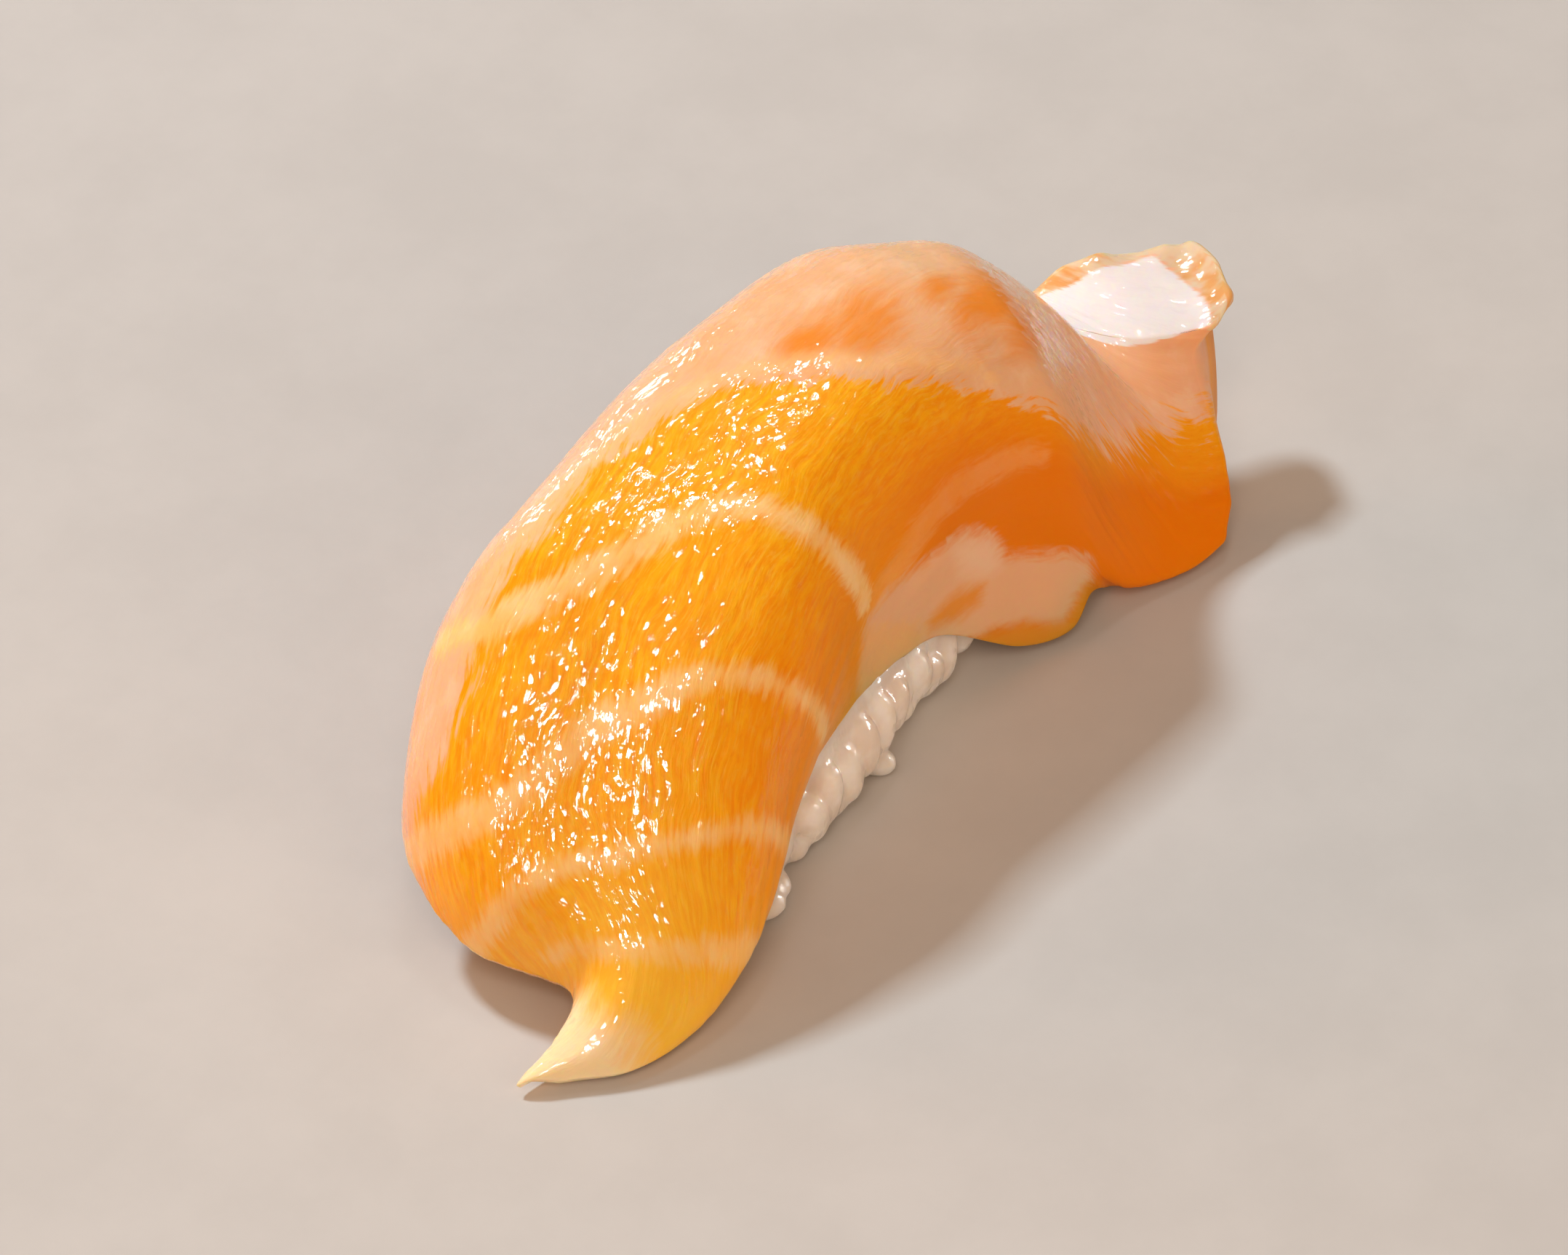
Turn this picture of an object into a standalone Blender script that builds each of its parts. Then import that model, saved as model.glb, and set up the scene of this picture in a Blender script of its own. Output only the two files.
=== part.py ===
"""Salmon nigiri: one thick slice of salmon belly draped over a pressed block of sushi rice.

Lengths are millimetres in the tables and metres in the scene. X runs along the piece, from the
thin front tip to the standing tail end, Y to the left and Z up. The piece rests on the plane Z = 0.
"""

import math
import random

import bmesh
import bpy
import numpy as np
from mathutils import Euler, Matrix, Vector
from mathutils.bvhtree import BVHTree

MM = 0.001

# The model is drawn about the rice block's centre, and this moves it to the whole piece's centre.
CENTRE_SHIFT = Vector((-0.728, 3.367, 0.0)) * MM

# Rows across the slice, from the front tip to the tail end: left edge, crown and right edge.
SLICE_ROWS = (
    ((-45.2, -4.9, 1.2), (-44.5, -6.3, 1.7), (-43.6, -7.9, 1.1)),
    ((-41.0, -5.5, 2.2), (-40.8, -8.3, 3.3), (-40.3, -11.6, 1.1)),
    ((-37.6, -4.3, 3.1), (-36.6, -8.3, 7.0), (-34.9, -14.0, 1.7)),
    ((-38.6, 3.0, 4.2), (-33.3, -3.7, 12.0), (-29.4, -14.8, 3.7)),
    ((-36.6, 8.9, 5.9), (-28.6, -0.6, 16.8), (-24.0, -14.2, 5.9)),
    ((-32.5, 12.9, 8.3), (-22.7, 1.3, 21.4), (-18.3, -12.8, 8.9)),
    ((-23.3, 16.0, 9.8), (-13.5, 2.2, 26.1), (-10.2, -11.3, 12.4)),
    ((-9.2, 15.9, 10.6), (-3.7, 2.4, 28.6), (-1.5, -9.6, 15.0)),
    ((4.6, 15.5, 11.1), (6.5, 1.8, 30.1), (6.8, -10.7, 15.0)),
    ((17.6, 13.1, 11.5), (16.3, 0.6, 30.1), (13.1, -12.9, 12.4)),
    ((23.6, 10.2, 13.0), (21.3, -0.8, 29.4), (16.1, -14.7, 10.0)),
    ((28.6, 5.6, 15.0), (25.3, -2.8, 27.5), (18.8, -16.8, 7.2)),
    ((32.8, -2.6, 15.6), (30.5, -7.9, 19.9), (22.6, -19.2, 2.0)),
    ((35.1, -11.5, 15.3), (32.2, -16.3, 11.1), (27.5, -22.0, 0.9)),
    ((39.9, -16.3, 14.8), (36.6, -19.9, 8.6), (31.9, -23.3, 1.7)),
)
# From each row's left and right edge to the corner of the under side behind it. The cut faces slant:
# on the right a broad one shows over the rice, on the left one turns up at the tail.
LEFT_CUT = (
    (0.4, -0.3, -0.7),
    (0.8, -0.6, -1.2),
    (1.4, -1.2, -1.6),
    (3.0, -1.8, -1.4),
    (3.6, -2.8, -1.2),
    (3.4, -3.8, -0.6),
    (1.8, -5.0, -0.4),
    (0.2, -5.2, -0.4),
    (-0.4, -5.2, -0.4),
    (-1.5, -4.6, -1.6),
    (-1.0, -3.2, -4.4),
    (0.0, -1.2, -5.4),
    (2.6, 3.2, -4.4),
    (5.6, 7.3, 0.6),
    (5.9, 7.3, 0.9),
)
RIGHT_CUT = (
    (0.4, 0.2, -0.7),
    (0.6, 0.4, -0.8),
    (1.0, 0.9, -1.3),
    (2.0, 2.0, -2.0),
    (2.8, 2.4, -2.2),
    (2.9, 2.4, -2.8),
    (2.6, 0.6, -3.6),
    (0.0, -0.9, -7.3),
    (-0.8, -0.7, -9.0),
    (-0.4, -2.1, -11.5),
    (0.6, -2.7, -9.4),
    (0.6, -0.9, -4.2),
    (2.2, 2.4, -2.2),
    (3.6, 4.0, -0.6),
    (4.0, 4.4, -1.2),
)
# How far the tail end stands out past the last row, in rows, from the left edge to the right one: the
# end is cut on a slant, and notched beside the white corner.
END_OUTER = (0.12, -0.20, -0.23, -0.19, -0.16, -0.07, -0.02, -0.02, -0.22)
END_UNDER = (0.30, 0.44, 0.48, 0.46, 0.38, 0.18, 0.0, -0.08, -0.20)
END_CORNER_BULGE = 0.25
END_FROM_ROW = 12.4
THICKNESS = (1.0, 1.8, 2.6, 3.6, 4.4, 4.8, 5.2, 5.4, 5.6, 5.6, 5.6, 5.6, 5.8, 6.0, 6.0)
# How square the shoulders of each row are, sideways and downwards: 1 is a straight fall.
LEFT_SIDEWAYS = (1.0, 1.2, 1.4, 1.6, 1.7, 1.85, 2.15, 2.1, 1.9, 1.8, 1.5, 1.2, 1.0, 1.0, 1.0)
LEFT_DOWN = (1.6, 1.8, 2.0, 2.1, 2.2, 2.4, 2.75, 2.65, 2.4, 2.3, 1.9, 1.5, 1.2, 1.0, 1.0)
RIGHT_SIDEWAYS = (1.0, 1.2, 1.4, 1.6, 1.7, 1.8, 1.9, 1.9, 1.9, 1.8, 1.7, 1.6, 1.25, 1.0, 1.0)
RIGHT_DOWN = (1.6, 1.8, 2.0, 2.1, 2.2, 2.3, 2.4, 2.4, 2.4, 2.3, 2.2, 2.1, 1.6, 1.2, 1.1)
UNDER_SIDEWAYS = (1.0, 1.2, 1.4, 1.6, 1.7, 1.7, 1.5, 1.25, 1.15, 1.1, 1.1, 1.1, 1.1, 1.0, 1.0)
UNDER_DOWN = (1.6, 1.8, 2.0, 2.1, 2.2, 2.2, 2.0, 1.7, 1.6, 1.6, 1.6, 1.6, 1.4, 1.2, 1.1)

SLICE_STEPS_LONG = 52
SLICE_STEPS_ACROSS = 18
EDGE_CHAMFER = 0.035
END_PUSH = 0.7
FLOOR_CLEARANCE = 0.02

RICE_HALF_LENGTH = 28.0
RICE_HALF_WIDTH = 10.9
RICE_ASIDE = -0.5
RICE_HEIGHT = 24.5
RICE_WAIST_HEIGHT = 5.0
RICE_FOOT_DEPTH = 7.5
RICE_SQUARENESS_PLAN = 0.5
RICE_SQUARENESS_SIDE = 0.72
RICE_GAP = 0.5
RICE_STEPS_ROUND = 32
RICE_STEPS_UP = 16

GRAIN_LENGTH = 5.6
GRAIN_WIDTH = 2.5
GRAIN_SPACING = 2.6
GRAIN_SIDES = 5
GRAIN_RINGS = 4
GRAIN_TRIES = 9000
GRAIN_STAND_OUT = 0.25
GRAIN_CLEARANCE = 0.35
GRAIN_SEED = 7

SALMON_COLOUR = (0.95, 0.34, 0.05)
RICE_COLOUR = (0.86, 0.82, 0.76)


def clear_scene():
    for obj in list(bpy.data.objects):
        bpy.data.objects.remove(obj, do_unlink=True)


def new_collection(name):
    collection = bpy.data.collections.new(name)
    bpy.context.scene.collection.children.link(collection)
    return collection


def food_material(name, colour, roughness):
    material = bpy.data.materials.new(name)
    material.use_nodes = True
    shader = material.node_tree.nodes["Principled BSDF"]
    shader.inputs["Base Color"].default_value = (*colour, 1.0)
    shader.inputs["Roughness"].default_value = roughness
    shader.inputs["Metallic"].default_value = 0.0
    return material


def spline(values, t):
    """A smooth curve through values, which stand at t = 0, 1, 2 and so on."""
    values = np.asarray(values, float)
    ends = np.concatenate([2 * values[:1] - values[1:2], values, 2 * values[-1:] - values[-2:-1]])
    start = np.clip(np.floor(t).astype(int), 0, len(values) - 2)
    f = (t - start).reshape(np.shape(t) + (1,) * (values.ndim - 1))
    a, b, c, d = (ends[start + k] for k in range(4))
    return 0.5 * (2 * b + (c - a) * f + (2 * a - 5 * b + 4 * c - d) * f**2 + (3 * b - a - 3 * c + d) * f**3)


def drape(rows, right_sideways, right_down, t, w):
    """Points of a face through the rows: t counts them, w runs from -1 at the left edge to 1."""
    left, crown, right = (spline(rows[:, k], t) for k in range(3))
    towards = np.where((w < 0)[..., None], left, right) - crown
    reach = np.abs(w)
    sideways = np.where(w < 0, spline(LEFT_SIDEWAYS, t), spline(right_sideways, t))
    down = np.where(w < 0, spline(LEFT_DOWN, t), spline(right_down, t))
    across = 1 - (1 - reach) ** sideways
    return crown + towards * np.stack([across, across, reach**down], -1)


def outer_face(t, w):
    return drape(np.array(SLICE_ROWS), RIGHT_SIDEWAYS, RIGHT_DOWN, t, w)


def under_rows():
    """The rows of the under side: the crown goes in by the thickness, the edges by their cuts."""
    rows = np.array(SLICE_ROWS)
    number = np.arange(len(rows), dtype=float)
    half = np.full(len(rows), 0.5)
    across = outer_face(number, half) - outer_face(number, -half)
    along = np.gradient(rows[:, 1], axis=0)
    normal = np.cross(across, along)
    normal = normal / np.linalg.norm(normal, axis=-1, keepdims=True)
    crown = rows[:, 1] - normal * np.array(THICKNESS)[:, None]
    return np.stack([rows[:, 0] + np.array(LEFT_CUT), crown, rows[:, 2] + np.array(RIGHT_CUT)], 1)


def uneven_end(t, w, depth):
    """Stretches t near the tail, so that the end follows its outline."""
    place = (w + 1) * (len(END_OUTER) - 1) / 2
    reach = spline(END_OUTER, place) * (1 - depth) + spline(END_UNDER, place) * depth
    corner = np.clip(-4 * (w + 0.75), 0, 1)
    reach = reach + END_CORNER_BULGE * corner * np.sin(math.pi * depth)
    last = len(SLICE_ROWS) - 1
    near = np.clip((t - END_FROM_ROW) / (last - END_FROM_ROW), 0, 1)
    return t + reach * near**2


def slice_point(t, w, depth):
    """A point in the slice: depth 0 is the outer face and 1 the under side."""
    t = uneven_end(t, w, depth)
    face = outer_face(t, w)
    under = drape(under_rows(), UNDER_SIDEWAYS, UNDER_DOWN, t, w)
    point = face + (under - face) * depth[..., None]
    point[..., 2] = np.maximum(point[..., 2], FLOOR_CLEARANCE + 0.3 * (1 - depth))
    return point


def section_path(steps, chamfer):
    """(w, depth) round one cross section: outer face, right edge, under side, left edge."""
    face = np.sin(np.linspace(-math.pi / 2, math.pi / 2, steps)) * (1 - chamfer)
    edge = np.array([0.14, 0.5, 0.86])
    w = np.concatenate([face, np.ones(3), face[::-1], -np.ones(3)])
    depth = np.concatenate([np.zeros(steps), edge, np.ones(steps), edge[::-1]])
    return w, depth


def slice_rings(steps_long, steps_across):
    """Cross sections from the front tip to the tail end, the first and last drawn in and pushed out."""
    w, depth = section_path(steps_across, EDGE_CHAMFER)
    last = len(SLICE_ROWS) - 1
    rings = [slice_point(np.full(len(w), t), w, depth) for t in np.linspace(0, last, steps_long)]
    drawn_in = 0.5 + (depth - 0.5) * 0.55
    for end, inside in ((0.0, 0.1), (float(last), last - 0.1)):
        ring = slice_point(np.full(len(w), end), w * 0.96, drawn_in)
        outwards = ring - slice_point(np.full(len(w), inside), w * 0.96, drawn_in)
        ring = ring + outwards / np.linalg.norm(outwards, axis=-1, keepdims=True) * END_PUSH
        if end == 0:
            rings.insert(0, ring)
        else:
            rings.append(ring)
    return rings


def loft_slice(name, steps_long, steps_across):
    """One closed solid through the sections."""
    mesh_data = bmesh.new()
    verts = []
    for ring in slice_rings(steps_long, steps_across):
        verts.append([mesh_data.verts.new(point) for point in ring * MM])
    count = len(verts[0])
    for ring, following in zip(verts, verts[1:]):
        for i in range(count):
            j = (i + 1) % count
            mesh_data.faces.new((ring[i], ring[j], following[j], following[i]))
    for ring in (verts[0], verts[-1]):
        close_end(mesh_data, ring, steps_across)
    bmesh.ops.recalc_face_normals(mesh_data, faces=mesh_data.faces)
    mesh = bpy.data.meshes.new(name)
    mesh_data.to_mesh(mesh)
    mesh_data.free()
    return bpy.data.objects.new(name, mesh)


def close_end(mesh_data, ring, steps_across):
    """Caps an end ring with strips from the outer face's points to the under side's."""
    edge_points = (len(ring) - 2 * steps_across) // 2
    outer = ring[:steps_across]
    right = ring[steps_across : steps_across + edge_points]
    under = ring[steps_across + edge_points : 2 * steps_across + edge_points][::-1]
    left = ring[2 * steps_across + edge_points :]
    for i in range(steps_across - 1):
        mesh_data.faces.new((outer[i], outer[i + 1], under[i + 1], under[i]))
    mesh_data.faces.new((outer[-1], *right, under[-1]))
    mesh_data.faces.new((under[0], *left, outer[0]))


def build_slice(collection):
    piece = loft_slice("salmon_slice", SLICE_STEPS_LONG, SLICE_STEPS_ACROSS)
    piece.data.materials.append(food_material("salmon", SALMON_COLOUR, 0.22))
    piece.data.shade_smooth()
    piece.data.set_sharp_from_angle(angle=math.radians(50))
    collection.objects.link(piece)
    return piece


def tree_of(obj):
    mesh_data = bmesh.new()
    mesh_data.from_mesh(obj.data)
    tree = BVHTree.FromBMesh(mesh_data)
    mesh_data.free()
    return tree


def signed_power(x, exponent):
    return math.copysign(abs(x) ** exponent, x)


def build_rice_core(collection):
    """The pressed block under the grains: a squarish dome with a flat foot."""
    bpy.ops.mesh.primitive_uv_sphere_add(segments=RICE_STEPS_ROUND, ring_count=RICE_STEPS_UP)
    core = bpy.context.object
    core.name = "rice_ball"
    for vertex in core.data.vertices:
        x, y, z = vertex.co
        round_plan = math.hypot(x, y)
        across = round_plan**RICE_SQUARENESS_SIDE
        angle = math.atan2(y, x)
        height = signed_power(z, RICE_SQUARENESS_SIDE)
        rise = RICE_HEIGHT - RICE_WAIST_HEIGHT if height > 0 else RICE_FOOT_DEPTH
        sideways = RICE_HALF_WIDTH * across * signed_power(math.sin(angle), RICE_SQUARENESS_PLAN)
        vertex.co = (
            MM * RICE_HALF_LENGTH * across * signed_power(math.cos(angle), RICE_SQUARENESS_PLAN),
            MM * (RICE_ASIDE + sideways),
            MM * max(0.0, RICE_WAIST_HEIGHT + rise * height),
        )
    for owner in core.users_collection:
        owner.objects.unlink(core)
    collection.objects.link(core)
    core.data.materials.append(food_material("rice", RICE_COLOUR, 0.4))
    return core


def fuse_all(obj, group):
    """Joins every object of a collection to obj, and removes the collection."""
    modifier = obj.modifiers.new("Fuse", "BOOLEAN")
    modifier.operation = "UNION"
    modifier.solver = "MANIFOLD"
    modifier.operand_type = "COLLECTION"
    modifier.collection = group
    bpy.context.view_layer.objects.active = obj
    bpy.context.view_layer.update()
    bpy.ops.object.modifier_apply(modifier=modifier.name)
    for other in list(group.objects):
        bpy.data.objects.remove(other)
    bpy.data.collections.remove(group)


def drop_scraps(obj):
    """Keeps the largest connected piece of a mesh."""
    mesh_data = bmesh.new()
    mesh_data.from_mesh(obj.data)
    left = set(mesh_data.verts)
    pieces = []
    while left:
        stack = [left.pop()]
        piece = set(stack)
        while stack:
            for edge in stack.pop().link_edges:
                for vertex in edge.verts:
                    if vertex in left:
                        left.discard(vertex)
                        piece.add(vertex)
                        stack.append(vertex)
        pieces.append(piece)
    largest = max(pieces, key=len)
    scraps = [v for piece in pieces if piece is not largest for v in piece]
    bmesh.ops.delete(mesh_data, geom=scraps, context="VERTS")
    mesh_data.to_mesh(obj.data)
    mesh_data.free()


def way_out(point):
    """The place on the block's middle line that a point of its skin faces, and the way from there."""
    reach = RICE_HALF_LENGTH * MM * 0.6
    along = max(-reach, min(reach, point.x))
    middle = Vector((along, RICE_ASIDE * MM, RICE_WAIST_HEIGHT * MM))
    return middle, point - middle


def excess(point, slice_tree):
    """How much too far out a point of the block's skin is, under the slice."""
    middle, outward = way_out(point)
    direction = outward.normalized()
    hit = slice_tree.ray_cast(middle, direction)
    if hit[0] is None:
        return 0.0
    free = hit[3] - RICE_GAP * MM / max(0.3, abs(hit[1].dot(direction)))
    return max(0.0, outward.length - free)


def draw_in(vertex, distance):
    vertex.co -= way_out(vertex.co)[1].normalized() * distance


def seat_core_under_slice(core, slice_tree):
    """Draws the block's skin in towards its middle line wherever the slice is in the way."""
    vertices = core.data.vertices
    for vertex in vertices:
        draw_in(vertex, excess(vertex.co, slice_tree))
    # A face between seated corners can still cross an edge of the slice.
    edges = sorted(tuple(sorted(edge.vertices)) for edge in core.data.edges)
    for pair in edges:
        places = [vertices[i].co.copy() for i in pair]
        between = [places[0].lerp(places[1], share) for share in (0.25, 0.5, 0.75)]
        too_far = max(excess(place, slice_tree) for place in between)
        for i in pair:
            draw_in(vertices[i], too_far)


def surface_samples(obj, draw, count):
    """Random points with normals on a mesh, evenly spread by area."""
    corners = [vertex.co.copy() for vertex in obj.data.vertices]
    obj.data.calc_loop_triangles()
    indices = []
    for tri in obj.data.loop_triangles:
        i, j, k = tri.vertices
        indices.append(min((i, j, k), (j, k, i), (k, i, j)))
    # A primitive's faces come in a different order each time, so they are sorted.
    triangles = [[corners[i] for i in three] for three in sorted(indices)]
    crosses = [(q - p).cross(r - p) for p, q, r in triangles]
    areas = [cross.length for cross in crosses]
    for index in draw.choices(range(len(triangles)), weights=areas, k=count):
        a, b = draw.random(), draw.random()
        if a + b > 1:
            a, b = 1 - a, 1 - b
        p, q, r = triangles[index]
        yield p + (q - p) * a + (r - p) * b, crosses[index].normalized()


def grain_matrix(place, normal, draw):
    """Lays a grain's long axis in the surface, turned at random about the normal."""
    turn = Matrix.Rotation(draw.uniform(0, math.tau), 4, "Z")
    tip = Euler((draw.gauss(0, 0.22), draw.gauss(0, 0.22), 0)).to_matrix().to_4x4()
    size = draw.uniform(0.9, 1.1)
    half = Matrix.Diagonal((GRAIN_LENGTH / 2, GRAIN_WIDTH / 2, GRAIN_WIDTH / 2, 1))
    lay = normal.to_track_quat("Z", "Y").to_matrix().to_4x4()
    scale = Matrix.Diagonal((MM * size, MM * size, MM * size, 1))
    return Matrix.Translation(place) @ lay @ turn @ tip @ scale @ half


def grain_mesh():
    bpy.ops.mesh.primitive_uv_sphere_add(
        segments=GRAIN_SIDES, ring_count=GRAIN_RINGS, radius=1.0, rotation=(0, math.pi / 2, 0)
    )
    pattern = bpy.context.object
    bpy.ops.object.transform_apply(rotation=True)
    mesh = pattern.data
    bpy.data.objects.remove(pattern)
    return mesh


def clear_of(tree, start, points, clearance):
    """True if every point is outside the mesh of the tree, seen from a start that is outside it."""
    for point in points:
        if tree.find_nearest(point)[3] < clearance:
            return False
        way = point - start
        if tree.ray_cast(start, way.normalized(), way.length)[0] is not None:
            return False
    return True


def place_grains(core, slice_tree, grains):
    """Grains over the block wherever the slice leaves room for them."""
    draw = random.Random(GRAIN_SEED)
    pattern = grain_mesh()
    corners = [vertex.co.copy() for vertex in pattern.vertices]
    taken = []
    for point, normal in surface_samples(core, draw, GRAIN_TRIES):
        if normal.z < -0.5 or any((point - other).length < GRAIN_SPACING * MM for other in taken):
            continue
        matrix = grain_matrix(point + normal * GRAIN_STAND_OUT * MM, normal, draw)
        placed = [matrix @ corner for corner in corners]
        lowest = min(p.z for p in placed)
        if lowest < FLOOR_CLEARANCE * MM:
            rise = Matrix.Translation((0, 0, FLOOR_CLEARANCE * MM - lowest))
            matrix = rise @ matrix
            placed = [rise @ p for p in placed]
        if not clear_of(slice_tree, point, placed, GRAIN_CLEARANCE * MM):
            continue
        taken.append(point)
        grain = bpy.data.objects.new(f"grain_{len(taken):03d}", pattern)
        grain.matrix_world = matrix
        grains.objects.link(grain)


def build_rice(collection, piece):
    slice_tree = tree_of(piece)
    rice = build_rice_core(collection)
    seat_core_under_slice(rice, slice_tree)
    grains = new_collection("grains")
    place_grains(rice, slice_tree, grains)
    fuse_all(rice, grains)
    drop_scraps(rice)
    return rice


def main():
    clear_scene()
    collection = new_collection("salmon_nigiri")
    piece = build_slice(collection)
    rice = build_rice(collection, piece)
    for obj in (piece, rice):
        obj.data.transform(Matrix.Translation(CENTRE_SHIFT))


main()
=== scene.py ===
import math
import random

import bmesh
import bpy
import numpy as np
from mathutils import Euler, Matrix, Vector
from mathutils.bvhtree import BVHTree
from mathutils.kdtree import KDTree


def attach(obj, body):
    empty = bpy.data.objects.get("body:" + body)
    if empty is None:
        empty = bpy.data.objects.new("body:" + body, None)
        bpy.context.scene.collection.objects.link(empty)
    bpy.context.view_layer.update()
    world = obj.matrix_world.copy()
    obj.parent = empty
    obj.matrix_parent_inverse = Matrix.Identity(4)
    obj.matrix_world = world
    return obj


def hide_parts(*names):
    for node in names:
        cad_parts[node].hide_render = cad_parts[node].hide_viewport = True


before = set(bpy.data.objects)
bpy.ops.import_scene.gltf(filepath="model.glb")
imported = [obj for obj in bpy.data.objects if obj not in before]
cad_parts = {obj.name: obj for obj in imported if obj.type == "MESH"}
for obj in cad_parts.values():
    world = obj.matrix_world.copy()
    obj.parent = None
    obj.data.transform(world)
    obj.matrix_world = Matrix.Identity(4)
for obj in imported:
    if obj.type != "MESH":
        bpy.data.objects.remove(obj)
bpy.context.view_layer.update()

MM = 0.001
CENTRE_SHIFT = np.array([-0.728, 3.367, 0.0])

# The slice's rows from the front tip to the tail, in mm: the left edge, the crown and the right edge.
# Its rows, cuts, ends, thickness and shoulders are the values of the part's source.
SLICE_ROWS = np.array((
    ((-45.2, -4.9, 1.2), (-44.5, -6.3, 1.7), (-43.6, -7.9, 1.1)),
    ((-41.0, -5.5, 2.2), (-40.8, -8.3, 3.3), (-40.3, -11.6, 1.1)),
    ((-37.6, -4.3, 3.1), (-36.6, -8.3, 7.0), (-34.9, -14.0, 1.7)),
    ((-38.6, 3.0, 4.2), (-33.3, -3.7, 12.0), (-29.4, -14.8, 3.7)),
    ((-36.6, 8.9, 5.9), (-28.6, -0.6, 16.8), (-24.0, -14.2, 5.9)),
    ((-32.5, 12.9, 8.3), (-22.7, 1.3, 21.4), (-18.3, -12.8, 8.9)),
    ((-23.3, 16.0, 9.8), (-13.5, 2.2, 26.1), (-10.2, -11.3, 12.4)),
    ((-9.2, 15.9, 10.6), (-3.7, 2.4, 28.6), (-1.5, -9.6, 15.0)),
    ((4.6, 15.5, 11.1), (6.5, 1.8, 30.1), (6.8, -10.7, 15.0)),
    ((17.6, 13.1, 11.5), (16.3, 0.6, 30.1), (13.1, -12.9, 12.4)),
    ((23.6, 10.2, 13.0), (21.3, -0.8, 29.4), (16.1, -14.7, 10.0)),
    ((28.6, 5.6, 15.0), (25.3, -2.8, 27.5), (18.8, -16.8, 7.2)),
    ((32.8, -2.6, 15.6), (30.5, -7.9, 19.9), (22.6, -19.2, 2.0)),
    ((35.1, -11.5, 15.3), (32.2, -16.3, 11.1), (27.5, -22.0, 0.9)),
    ((39.9, -16.3, 14.8), (36.6, -19.9, 8.6), (31.9, -23.3, 1.7)),
))
# From the outer face's edge to the under side's, for each row.
LEFT_CUT = np.array((
    (0.4, -0.3, -0.7),
    (0.8, -0.6, -1.2),
    (1.4, -1.2, -1.6),
    (3.0, -1.8, -1.4),
    (3.6, -2.8, -1.2),
    (3.4, -3.8, -0.6),
    (1.8, -5.0, -0.4),
    (0.2, -5.2, -0.4),
    (-0.4, -5.2, -0.4),
    (-1.5, -4.6, -1.6),
    (-1.0, -3.2, -4.4),
    (0.0, -1.2, -5.4),
    (2.6, 3.2, -4.4),
    (5.6, 7.3, 0.6),
    (5.9, 7.3, 0.9),
))
RIGHT_CUT = np.array((
    (0.4, 0.2, -0.7),
    (0.6, 0.4, -0.8),
    (1.0, 0.9, -1.3),
    (2.0, 2.0, -2.0),
    (2.8, 2.4, -2.2),
    (2.9, 2.4, -2.8),
    (2.6, 0.6, -3.6),
    (0.0, -0.9, -7.3),
    (-0.8, -0.7, -9.0),
    (-0.4, -2.1, -11.5),
    (0.6, -2.7, -9.4),
    (0.6, -0.9, -4.2),
    (2.2, 2.4, -2.2),
    (3.6, 4.0, -0.6),
    (4.0, 4.4, -1.2),
))
# How far the tail's outline runs past its row or falls short of it, in rows, from left to right.
END_OUTER = (0.12, -0.20, -0.23, -0.19, -0.16, -0.07, -0.02, -0.02, -0.22)
END_UNDER = (0.30, 0.44, 0.48, 0.46, 0.38, 0.18, 0.0, -0.08, -0.20)
END_CORNER_BULGE = 0.25
END_FROM_ROW = 12.4
# Under the crown, in mm. The shoulders below are exponents: the greater, the squarer.
THICKNESS = (1.0, 1.8, 2.6, 3.6, 4.4, 4.8, 5.2, 5.4, 5.6, 5.6, 5.6, 5.6, 5.8, 6.0, 6.0)
LEFT_SIDEWAYS = (1.0, 1.2, 1.4, 1.6, 1.7, 1.85, 2.15, 2.1, 1.9, 1.8, 1.5, 1.2, 1.0, 1.0, 1.0)
LEFT_DOWN = (1.6, 1.8, 2.0, 2.1, 2.2, 2.4, 2.75, 2.65, 2.4, 2.3, 1.9, 1.5, 1.2, 1.0, 1.0)
RIGHT_SIDEWAYS = (1.0, 1.2, 1.4, 1.6, 1.7, 1.8, 1.9, 1.9, 1.9, 1.8, 1.7, 1.6, 1.25, 1.0, 1.0)
RIGHT_DOWN = (1.6, 1.8, 2.0, 2.1, 2.2, 2.3, 2.4, 2.4, 2.4, 2.3, 2.2, 2.1, 1.6, 1.2, 1.1)
UNDER_SIDEWAYS = (1.0, 1.2, 1.4, 1.6, 1.7, 1.7, 1.5, 1.25, 1.15, 1.1, 1.1, 1.1, 1.1, 1.0, 1.0)
UNDER_DOWN = (1.6, 1.8, 2.0, 2.1, 2.2, 2.2, 2.0, 1.7, 1.6, 1.6, 1.6, 1.6, 1.4, 1.2, 1.1)
LAST_ROW = len(SLICE_ROWS) - 1
# The least height of the slice and the grains over the floor, in mm.
FLOOR_CLEARANCE = 0.02

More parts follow.
